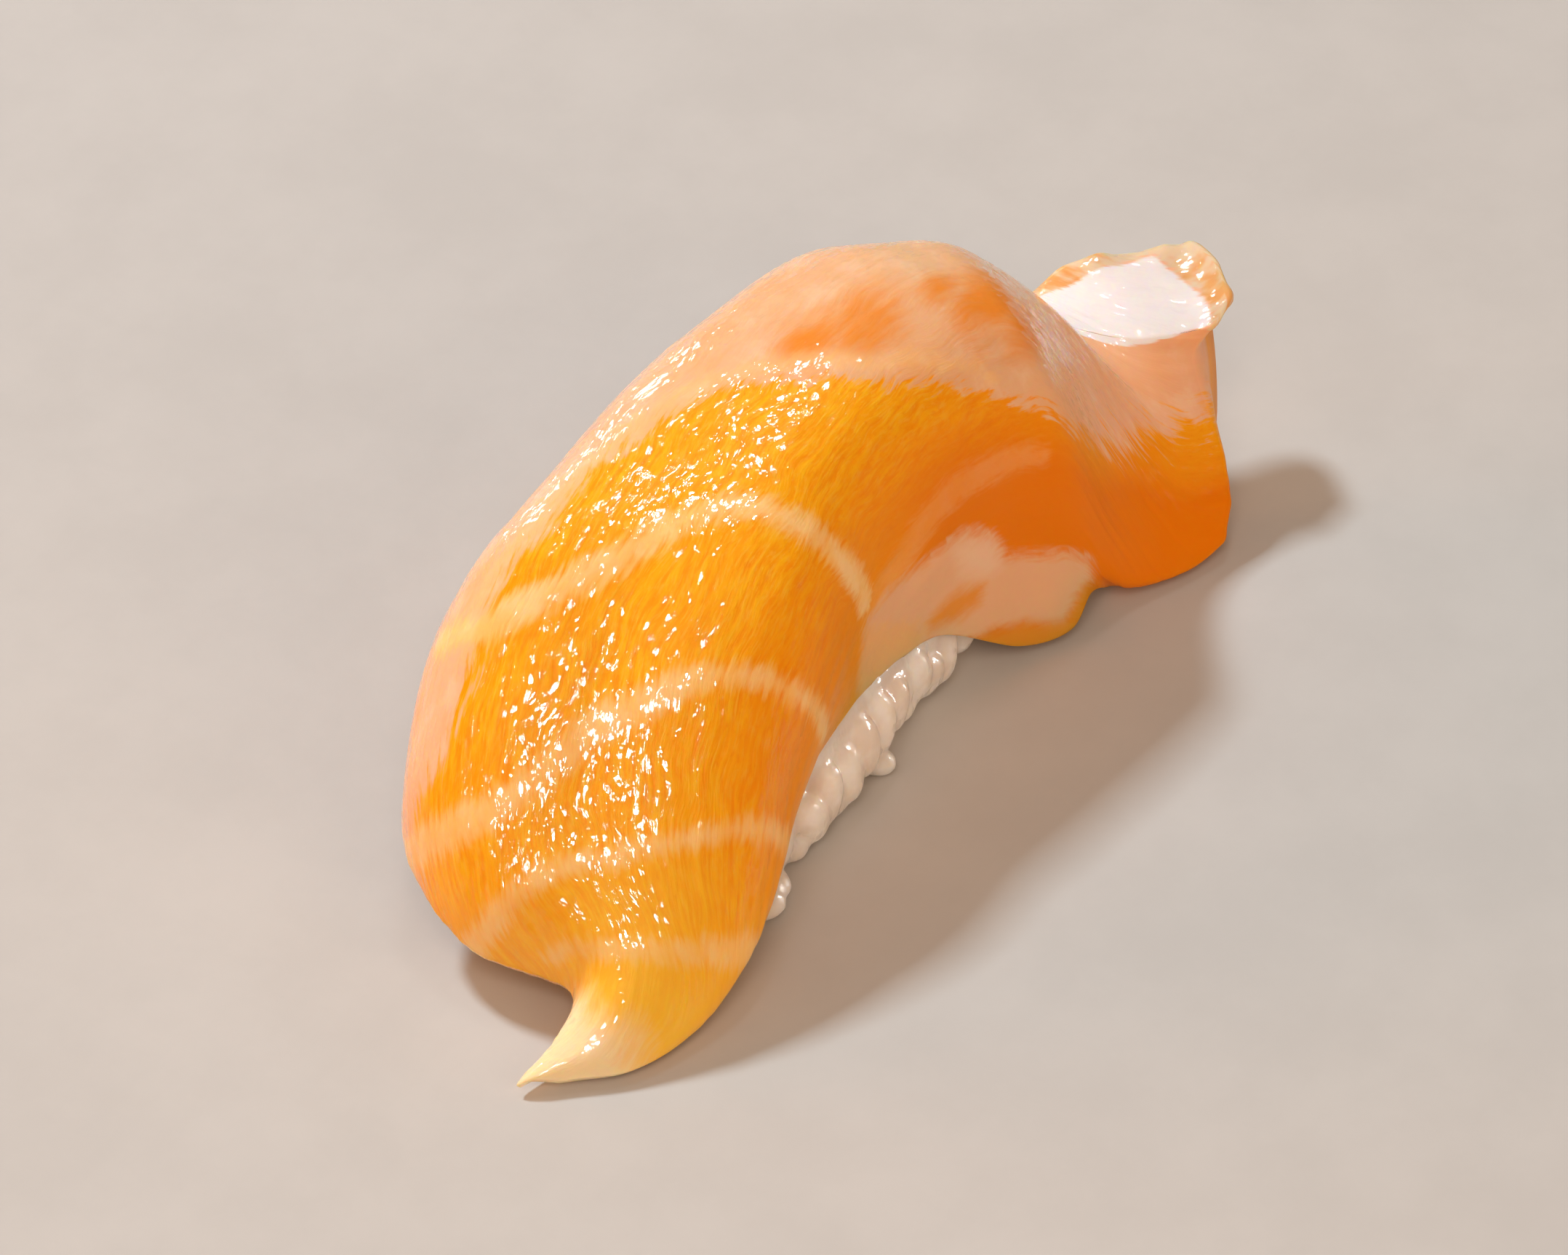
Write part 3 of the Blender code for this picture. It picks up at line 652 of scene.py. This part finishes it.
def cut_zones(points, t, w, depth):
    """The cut faces: peach and orange on the right, white and a tan membrane on the left."""
    place = w + depth * (w > 0.9)
    zones = {name: np.zeros(len(points)) for name in SIDE_OUTLINES}
    for name, outlines in SIDE_OUTLINES.items():
        for outline in outlines:
            zones[name] = np.maximum(zones[name], outline_zone(points, t, place, outline))

    left_cut = smooth_step(-0.9, -0.96, w) * smooth_step(8.8, 9.6, t)
    wobble = noise(points, 2.5, 21)
    ridge = np.clip(0.73 + 0.136 * (t - 12.55), 0.70, 0.9) + 0.04 * wobble
    end = 13.9 - 0.32 * (depth - 0.1) + 0.06 * wobble
    on_cut = np.minimum((ridge - depth) * 4, (end - t) * 3)
    beside = np.minimum((-w - 0.84 - 0.14 * (t - 12.75)) * 4, (end - t) * 3)
    white = np.clip(0.5 + np.where(depth > 0.02, on_cut, beside), 0, 1) * (w < -0.5)
    fade = smooth_step(8.6, 10.8, t + 0.7 * wobble)
    membrane = np.clip(0.5 + np.maximum((depth - ridge) * 4, (t - end) * 3), 0, 1) * left_cut
    return {**zones, "white_side": white, "white_fade": fade, "membrane": membrane}


def slice_zones(points, t, w, depth):
    """Where each kind of surface lies: t and w are row and place across, and depth goes through.

    Of a zone with a border, 0.5 is the border, and 1 well inside it.
    """
    zones = {}
    zones["fat"], zones["fat_strength"] = fat_zones(points, depth)
    zones.update(skin_zones(points, t, w, depth))
    zones.update(cut_zones(points, t, w, depth))
    # Painted shade: the flesh is darkened in the valley, low on the right and on the tail's foot, with a
    # little random tone.
    valley = smooth_step(6.8, 8.6, t) * smooth_step(0.55, 0.9, w)
    valley = valley + 1.2 * smooth_step(11.6, 13, t) * smooth_step(-0.1, 0.7, w)
    low = smooth_step(0.35, 0.85, w) * smooth_step(2.5, 5.0, t)
    foot = smooth_step(11.0, 12.5, t) * smooth_step(0.35, 0.95, w)
    zones["painted_shade"] = np.clip(0.50 * valley + 0.50 * low + 0.2 * foot + 0.10 * noise(points, 9, 8), 0, 0.9)
    zones["front"] = 0.75 * smooth_step(4.2, 1.2, t) * (0.8 + 0.3 * noise(points, 6, 9))
    zones["calm"] = np.maximum(0.7 * smooth_step(8.5, 10.5, t), smooth_step(0.72, 0.92, w))
    # Painted shade on the tail's end face.
    zones["shaded_end"] = 0.85 * (t > LAST_ROW - 0.001) * smooth_step(0.12, 0.3, depth) * (w > -0.97)
    dry = smooth_step(0.35, 0.75, w) * smooth_step(4.5, 6.5, t) * (depth < 0.5)
    zones["wet"] = 1 - np.maximum(dry, 0.9 * smooth_step(0.78, 0.96, w))
    zones["wet"] = zones["wet"] * (t < LAST_ROW - 0.001)
    zones["rim"] = 0.35 * smooth_step(0.88, 1.0, w) * smooth_step(6.5, 5.5, t)
    zones["tip"] = np.clip(0.5 + (1.45 + 0.25 * noise(points, 4, 11) - 0.35 * w - t) / 1.4, 0, 1)
    return zones


def ring_normals(grid):
    """Outward normals at the vertices of the rings."""
    across = np.roll(grid, -1, axis=1) - np.roll(grid, 1, axis=1)
    along = np.gradient(grid, axis=0)
    normal = np.cross(across, along)
    return normal / np.maximum(np.linalg.norm(normal, axis=-1, keepdims=True), 1e-9)


def cap_faces(ring):
    """Closes an end ring by walking in from both of its ends."""
    ring = ring.tolist()
    faces = []
    i, j = 0, len(ring) - 1
    while j - i > 2:
        faces.append((ring[i], ring[i + 1], ring[j - 1], ring[j]))
        i, j = i + 1, j - 1
    if j - i == 2:
        faces.append((ring[i], ring[i + 1], ring[j]))
    return faces


def slice_rings():
    """The slice as rings of points from tip to tail, with the row, place across and depth of each."""
    w, depth = section_path()
    rows = np.linspace(0, LAST_ROW, ROWS)
    body = [slice_point(np.full(len(w), t), w, depth) for t in rows]
    start = end_rings(w, depth, 0.0, 0.1)[::-1]
    finish = end_rings(w, depth, float(LAST_ROW), LAST_ROW - 0.1)
    grid = np.array(start + body + finish)
    t = np.concatenate([np.zeros(len(start)), rows, np.full(len(finish), LAST_ROW)])
    return grid, np.repeat(t, len(w)), np.tile(w, len(grid)), np.tile(depth, len(grid))


def pattern_places(grid, depth):
    """Places in the fibres' pattern, in mm along, across and through the slice."""
    step = np.linalg.norm(np.diff(grid, axis=0), axis=-1).mean(axis=1)
    along = np.concatenate([[0], np.cumsum(step)])
    across = np.linalg.norm(np.diff(grid, axis=1), axis=-1)
    across = np.concatenate([np.zeros((len(grid), 1)), np.cumsum(across, axis=1)], axis=1)
    across -= across[:, ACROSS_OUTER // 2, None]
    return np.stack([np.repeat(along, grid.shape[1]), across.ravel(), depth * PATTERN_THICKNESS], -1)


def relief(points, place, w, depth, zones):
    """Heights in mm of the fine forms, which fade out at the floor and on the under side."""
    height = 0.16 * noise(points, 11, 31) + 0.07 * noise(points, 4.5, 32)
    height += 0.05 * noise(place, (7, 0.9, 5), 33) * (depth < 0.5)
    height += 0.10 * (zones["fat"] - 0.3) * (depth < 0.1)
    height += zones["membrane"] * (0.45 * noise(points, 1.9, 34) + 0.2)
    height += 0.12 * noise(points, 2.2, 35) * (zones["peach_side"] > 0.5)
    floor_fade = smooth_step(0.2, 1.6, points[:, 2])
    under_fade = 1 - 0.85 * smooth_step(0.3, 0.9, depth) * (np.abs(w) < 0.99)
    return height * floor_fade * under_fade


def build_slice(material):
    """The slice of salmon, closed all round."""
    grid, t, w, depth = slice_rings()
    points = grid.reshape(-1, 3)
    place = pattern_places(grid, depth)
    zones = slice_zones(points, t, w, depth)
    normal = ring_normals(grid).reshape(-1, 3)
    points = points + normal * relief(points, place, w, depth, zones)[:, None]
    points[:, 2] = np.maximum(points[:, 2], FLOOR_CLEARANCE + 0.01)

    verts = (points + CENTRE_SHIFT) * MM
    index = np.arange(len(points)).reshape(grid.shape[:2])
    a, b = index[:-1], index[1:]
    quads = np.stack([a, np.roll(a, -1, 1), np.roll(b, -1, 1), b], -1).reshape(-1, 4)
    mesh = bpy.data.meshes.new("salmon_slice_visual")
    mesh.from_pydata(verts.tolist(), [], quads.tolist() + cap_faces(index[0]) + cap_faces(index[-1]))
    mesh.update()
    for name, values in zones.items():
        store(mesh, name, "FLOAT", values)
    store(mesh, "fibre_place", "FLOAT_VECTOR", place)
    mesh_data = bmesh.new()
    mesh_data.from_mesh(mesh)
    bmesh.ops.recalc_face_normals(mesh_data, faces=mesh_data.faces)
    mesh_data.to_mesh(mesh)
    mesh_data.free()
    piece = new_object("salmon_slice_flesh", mesh, material)
    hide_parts("salmon_slice")
    return piece


# The rice.

# The pressed block: its sizes in mm and its squareness are the values of the part's source.
RICE_HALF_LENGTH = 28.0
RICE_HALF_WIDTH = 10.9
RICE_ASIDE = -0.5
RICE_HEIGHT = 24.5
RICE_WAIST_HEIGHT = 5.0
RICE_FOOT_DEPTH = 7.5
RICE_SQUARENESS_PLAN = 0.5
RICE_SQUARENESS_SIDE = 0.72
# The gap to the slice, a little wider than the part's.
RICE_GAP = 0.6
# The core lies this much deeper than the part's, because the grains stand on it.
CORE_INSET = 0.6
# The core is drawn in towards a line along its middle, which has this share of the half length.
CORE_SPINE_SHARE = 0.6
# Half length, half width and half thickness of a grain, in mm.
GRAIN_SIZE = (2.85, 1.50, 1.30)
GRAIN_FORMS = 14
GRAIN_CLEARANCE = 0.25
GRAIN_SEED = 12
# For each layer: least distance between grains' middle lines, how far they stand out, tries, the
# share of upright grains on the sides, and the heights between which the middles lie.
GRAIN_LAYERS = (
    (2.1, 0.0, 6000, 1.0, (3.4, 4.9)),
    (1.9, 0.20, 9000, 0.75, (0.0, 30.0)),
    (1.45, -0.2, 9000, 0.5, (0.0, 30.0)),
)
# Grains that peek out along the foot: the place of the middle, in mm, and the way that each points.
FOOT_GRAINS = ((-21.4, -10.4, -60.0), (-18.3, -9.8, -110.0), (-15.2, -8.8, -70.0), (-3.3, -9.9, -85.0))
# The merged skin: its mesh step in mm, and how often it is softened.
MERGE_STEP = 0.275
MERGE_SMOOTHING = 15


def signed_power(x, exponent):
    """A power that keeps the sign of x."""
    return math.copysign(abs(x) ** exponent, x)


def rice_core(tree):
    """The pressed block behind the grains, drawn in where the slice lies on it."""
    half_length = RICE_HALF_LENGTH - CORE_INSET
    half_width = RICE_HALF_WIDTH - CORE_INSET
    mesh_data = bmesh.new()
    bmesh.ops.create_uvsphere(mesh_data, u_segments=72, v_segments=40, radius=1.0)
    for vertex in mesh_data.verts:
        x, y, z = vertex.co
        across = math.hypot(x, y) ** RICE_SQUARENESS_SIDE
        angle = math.atan2(y, x)
        height = signed_power(z, RICE_SQUARENESS_SIDE)
        rise = RICE_HEIGHT - RICE_WAIST_HEIGHT if height > 0 else RICE_FOOT_DEPTH
        lengthways = half_length * across * signed_power(math.cos(angle), RICE_SQUARENESS_PLAN)
        sideways = half_width * across * signed_power(math.sin(angle), RICE_SQUARENESS_PLAN)
        point = Vector((lengthways, RICE_ASIDE + sideways, max(0.0, RICE_WAIST_HEIGHT + rise * height)))
        reach = RICE_HALF_LENGTH * CORE_SPINE_SHARE
        middle = Vector((max(-reach, min(reach, point.x)), RICE_ASIDE, RICE_WAIST_HEIGHT))
        outward = point - middle
        direction = outward.normalized()
        hit = tree.ray_cast(middle, direction)
        if hit[0] is not None:
            free = hit[3] - RICE_GAP / max(0.3, abs(hit[1].dot(direction)))
            point = middle + direction * min(free, outward.length)
        vertex.co = point
    mesh = bpy.data.meshes.new("rice_core")
    mesh_data.to_mesh(mesh)
    mesh_data.free()
    return mesh


def grain_form(draw, rings=12, sides=16):
    """One cooked grain in mm, its long axis along X: blunt, a little flat and slightly bent."""
    bend = draw.uniform(-0.25, 0.25)
    blunt = draw.uniform(0.75, 1.0)
    taper = draw.uniform(-0.14, 0.14)
    verts = []
    for i in range(1, rings):
        s = -math.cos(math.pi * i / rings)
        radius = (1 - abs(s) ** 2.2) ** (0.5 * blunt) * (1 + taper * s)
        for j in range(sides):
            angle = math.tau * j / sides
            verts.append(Vector((
                s * GRAIN_SIZE[0],
                radius * GRAIN_SIZE[1] * math.cos(angle) + bend * (1 - s * s),
                radius * GRAIN_SIZE[2] * math.sin(angle),
            )))
    poles = [Vector((-GRAIN_SIZE[0], 0, 0)), Vector((GRAIN_SIZE[0], 0, 0))]
    faces = []
    for i in range(rings - 2):
        for j in range(sides):
            k = (j + 1) % sides
            faces.append((i * sides + j, i * sides + k, (i + 1) * sides + k, (i + 1) * sides + j))
    first, last = len(verts), len(verts) + 1
    top = (rings - 2) * sides
    for j in range(sides):
        k = (j + 1) % sides
        faces.append((first, k, j))
        faces.append((last, top + j, top + k))
    return verts + poles, faces


def surface_samples(mesh, draw, count):
    """Random points with normals on a mesh, evenly spread by area."""
    corners = [vertex.co.copy() for vertex in mesh.vertices]
    mesh.calc_loop_triangles()
    indices = []
    for tri in mesh.loop_triangles:
        i, j, k = tri.vertices
        indices.append(min((i, j, k), (j, k, i), (k, i, j)))
    triangles = [[corners[i] for i in three] for three in sorted(indices)]
    crosses = [(q - p).cross(r - p) for p, q, r in triangles]
    for index in draw.choices(range(len(triangles)), weights=[c.length for c in crosses], k=count):
        a, b = draw.random(), draw.random()
        if a + b > 1:
            a, b = 1 - a, 1 - b
        p, q, r = triangles[index]
        yield p + (q - p) * a + (r - p) * b, crosses[index].normalized()


def clear_of(tree, start, points, clearance):
    """True if every point is outside the mesh of the tree, seen from a start that is outside it."""
    for point in points:
        if tree.find_nearest(point)[3] < clearance:
            return False
        way = point - start
        if tree.ray_cast(start, way.normalized(), way.length)[0] is not None:
            return False
    return True


def grain_lay(normal, draw, upright_share):
    """How a grain lies in the surface: most of those on the sides stand upright."""
    upright = Vector((0, 0, 1)) - normal * normal.z
    turn = draw.uniform(0, math.tau)
    if upright.length > 0.7 and draw.random() < upright_share:
        side = normal.cross(upright.normalized())
        lay = Matrix((upright.normalized(), side, normal)).transposed()
        turn = draw.gauss(0, 0.32)
    else:
        lay = normal.to_track_quat("Z", "Y").to_matrix()
    lay = lay @ Matrix.Rotation(turn, 3, "Z")
    return lay @ Euler((0, draw.gauss(0, 0.2), 0)).to_matrix()


def pack_grains(core, tree):
    """Grains packed over the block, none of them on the slice or close along its neighbours."""
    draw = random.Random(GRAIN_SEED)
    forms = [grain_form(draw) for _ in range(GRAIN_FORMS)]
    along_grain = np.linspace(-0.62, 0.62, 5) * GRAIN_SIZE[0]
    spine = np.zeros((0, 3))
    verts, faces = [], []

    def add(placed, form):
        """Keeps one grain, lifted clear of the floor."""
        base = len(verts)
        lowest = min(v.z for v in placed)
        lift = Vector((0, 0, max(0.0, FLOOR_CLEARANCE + 0.01 - lowest)))
        verts.extend(v + lift for v in placed)
        faces.extend(tuple(base + i for i in face) for face in form[1])

    for x, y, way in FOOT_GRAINS:
        form = forms[draw.randrange(len(forms))]
        lay = Euler((0, draw.uniform(-0.1, 0.2), math.radians(way))).to_matrix()
        centre = Vector((x, y, GRAIN_SIZE[2]))
        spine = np.concatenate([spine, np.array(centre) + along_grain[:, None] * np.array(lay.col[0])])
        add([centre + lay @ v for v in form[0]], form)
    for apart, stand_out, tries, upright_share, heights in GRAIN_LAYERS:
        for point, normal in surface_samples(core, draw, tries):
            if normal.z < -0.6 or not heights[0] < point.z < heights[1]:
                continue
            size = draw.uniform(0.86, 1.12)
            lay = grain_lay(normal, draw, upright_share)
            form = forms[draw.randrange(len(forms))]
            centre = point + normal * (stand_out + draw.uniform(-0.3, 0.3))
            own = np.array(centre) + along_grain[:, None] * np.array(lay.col[0])
            if len(spine) and np.linalg.norm(spine[:, None] - own, axis=-1).min() < apart:
                continue
            placed = [centre + lay @ (v * size) for v in form[0]]
            if not clear_of(tree, point, placed[::3], GRAIN_CLEARANCE):
                continue
            spine = np.concatenate([spine, own])
            add(placed, form)
    return verts, faces


def merged(name, core, verts, faces):
    """One skin over the core and the grains, softened where they meet."""
    base = len(core.vertices)
    all_verts = [v.co for v in core.vertices] + verts
    all_faces = [tuple(p.vertices) for p in core.polygons]
    all_faces += [tuple(base + i for i in face) for face in faces]
    mesh = bpy.data.meshes.new(name + "_parts")
    mesh.from_pydata(all_verts, [], all_faces)
    holder = bpy.data.objects.new(name + "_parts", mesh)
    bpy.context.scene.collection.objects.link(holder)
    remesh = holder.modifiers.new("Merge", "REMESH")
    remesh.mode = "VOXEL"
    remesh.voxel_size = MERGE_STEP
    smooth = holder.modifiers.new("Soften", "SMOOTH")
    smooth.factor = 0.5
    smooth.iterations = MERGE_SMOOTHING
    shaped = holder.evaluated_get(bpy.context.evaluated_depsgraph_get())
    result = bpy.data.meshes.new_from_object(shaped)
    bpy.data.objects.remove(holder)
    result.name = name
    return result


def build_rice(piece):
    """The rice, fitted under the slice that is given."""
    shift = Vector(CENTRE_SHIFT)
    polygons = [tuple(p.vertices) for p in piece.data.polygons]
    tree = BVHTree.FromPolygons([v.co / MM - shift for v in piece.data.vertices], polygons)
    core = rice_core(tree)
    mesh = merged("rice_grains", core, *pack_grains(core, tree))
    for vertex in mesh.vertices:
        vertex.co.z = max(FLOOR_CLEARANCE, vertex.co.z)
    mesh.transform(Matrix.Scale(MM, 4) @ Matrix.Translation(shift))
    grains = new_object("rice_grains", mesh, rice_material())
    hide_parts("rice_ball")
    return grains


# Camera, lights and floor.

# Half the floor's side, in metres.
FLOOR_HALF_SIZE = 3.0
WORLD_COLOUR = (1.0, 0.70, 0.50, 1.0)
WORLD_STRENGTH = 0.14
# Soft lights: name, direction, distance and size in metres, power in watts, colour. They light the
# piece without showing in its wet skin.
SOFT_LIGHTS = (
    ("key", (0.15, 0.60, 0.78), 1.0, (0.12, 0.12), 8.2, (0.80, 0.93, 1.0)),
    ("right_fill", (-0.25, -0.87, 0.42), 1.1, (0.80, 0.80), 5.0, (1.0, 0.68, 0.44)),
    ("front_fill", (-0.55, -0.25, 0.80), 1.0, (0.40, 0.40), 2.7, (1.0, 0.82, 0.65)),
    ("sky_fill", (0.0, 0.0, 1.0), 1.2, (1.60, 1.60), 1.9, (1.0, 0.70, 0.50)),
    ("left_bounce", (-0.35, 0.85, 0.22), 0.8, (0.50, 0.25), 3.6, (1.0, 0.40, 0.10)),
)
# Small lights, of the same kind, that only show as glints.
GLINT_LIGHTS = (
    ("front_glint", (-0.45, -0.22, 0.86), 0.9, (0.12, 0.12), 4.2, (1.0, 0.97, 0.94)),
    ("top_glint", (0.28, 0.13, 0.95), 0.9, (0.12, 0.12), 3.6, (1.0, 0.97, 0.94)),
    ("left_glint", (0.50, 0.80, 0.22), 1.0, (0.10, 0.20), 1.3, (1.0, 0.97, 0.94)),
    ("low_glint", (-0.81, -0.01, 0.58), 0.9, (0.10, 0.10), 2.0, (1.0, 0.97, 0.94)),
)
# Small lights whose glints show on the rice alone.
RICE_GLINT_LIGHTS = (
    ("rice_glint", (0.78, -0.54, 0.27), 0.9, (0.10, 0.25), 7.0, (1.0, 0.97, 0.94)),
    ("rice_side_glint", (0.75, -0.62, 0.08), 0.9, (0.10, 0.10), 4.0, (1.0, 0.97, 0.94)),
)


def build_floor():
    """A plain pale floor."""
    mesh = bpy.data.meshes.new("floor")
    size = FLOOR_HALF_SIZE
    corners = [(-size, -size, 0), (size, -size, 0), (size, size, 0), (-size, size, 0)]
    mesh.from_pydata(corners, [], [(0, 1, 2, 3)])
    floor = bpy.data.objects.new("floor", mesh)
    bpy.context.scene.collection.objects.link(floor)
    n = Nodes("floor")
    place = n.add("ShaderNodeTexCoord", out="Object")
    cloud = n.noise(place, 60.0, 5.0, 0.65)
    n.set(n.shader.inputs["Base Color"], n.mix(n.ramp(cloud, 0.3, 0.7), *FLOOR_COLOURS))
    n.shader.inputs["Roughness"].default_value = 0.6
    mesh.materials.append(n.material)


def build_world():
    """Weak warm light from all round."""
    world = bpy.data.worlds.new("studio")
    world.use_nodes = True
    background = world.node_tree.nodes["Background"]
    background.inputs["Color"].default_value = WORLD_COLOUR
    background.inputs["Strength"].default_value = WORLD_STRENGTH
    bpy.context.scene.world = world


def build_light(name, direction, distance, size, power, colour):
    """A flat light that shines at the origin from the given direction."""
    light = bpy.data.lights.new(name, "AREA")
    light.shape = "RECTANGLE"
    light.size, light.size_y = size
    light.energy = power
    light.color = colour
    obj = bpy.data.objects.new(name, light)
    bpy.context.scene.collection.objects.link(obj)
    direction = Vector(direction).normalized()
    obj.location = direction * distance
    obj.rotation_mode = "QUATERNION"
    obj.rotation_quaternion = direction.to_track_quat("Z", "Y")
    return obj


# The photograph's viewpoint: pixel places are those of a picture 2156 wide and 1725 high.
PHOTO_WIDTH = 2156
PHOTO_CENTRE = (1078.0, 862.5)
# Where the rice block's foot centre shows, its scale, and the photograph's lens on a 36 mm sensor.
FOOT_PIXEL = (1083.5, 1083.2)
PIXELS_PER_MM = 9.2
PHOTO_LENS = 85.0
CAMERA_YAW = 30.0
CAMERA_ELEVATION = 41.0
# The scene's own camera stands there with a longer lens, turned on this one piece.
CLOSE_LENS = 165.0
SENSOR_WIDTH = 36.0
TARGET = np.array([-2.62, -2.61, 10.5])


def photo_camera():
    """The camera, where the photograph was taken from."""
    yaw, elevation = math.radians(CAMERA_YAW), math.radians(CAMERA_ELEVATION)
    forward = np.array([math.cos(yaw), math.sin(yaw), 0.0])
    right = np.array([math.sin(yaw), -math.cos(yaw), 0.0])
    up = np.array([0.0, 0.0, 1.0])
    view = forward * math.cos(elevation) - up * math.sin(elevation)
    screen_up = up * math.cos(elevation) + forward * math.sin(elevation)
    lens_pixels = PHOTO_LENS / SENSOR_WIDTH * PHOTO_WIDTH
    distance = lens_pixels / PIXELS_PER_MM
    dx, dy = ((foot - centre) / lens_pixels for foot, centre in zip(FOOT_PIXEL, PHOTO_CENTRE))
    data = bpy.data.cameras.new("photo_camera")
    data.lens = CLOSE_LENS
    data.sensor_width = SENSOR_WIDTH
    data.clip_start, data.clip_end = 0.01, 20.0
    camera = bpy.data.objects.new("photo_camera", data)
    bpy.context.scene.collection.objects.link(camera)
    camera.location = (-distance * (view + dx * right - dy * screen_up) + CENTRE_SHIFT) * MM
    target = Vector((TARGET + CENTRE_SHIFT) * MM)
    camera.rotation_mode = "QUATERNION"
    camera.rotation_quaternion = (target - camera.location).to_track_quat("-Z", "Y")
    bpy.context.scene.camera = camera


bpy.context.scene.view_settings.view_transform = "Standard"
photo_camera()
build_floor()
build_world()
for light in SOFT_LIGHTS:
    build_light(*light).visible_glossy = False
for light in GLINT_LIGHTS:
    build_light(*light).visible_diffuse = False
rice = build_rice(build_slice(salmon_material()))
rice_only = bpy.data.collections.new("rice_only")
rice_only.objects.link(rice)
for light in RICE_GLINT_LIGHTS:
    glint = build_light(*light)
    glint.visible_diffuse = False
    glint.light_linking.receiver_collection = rice_only
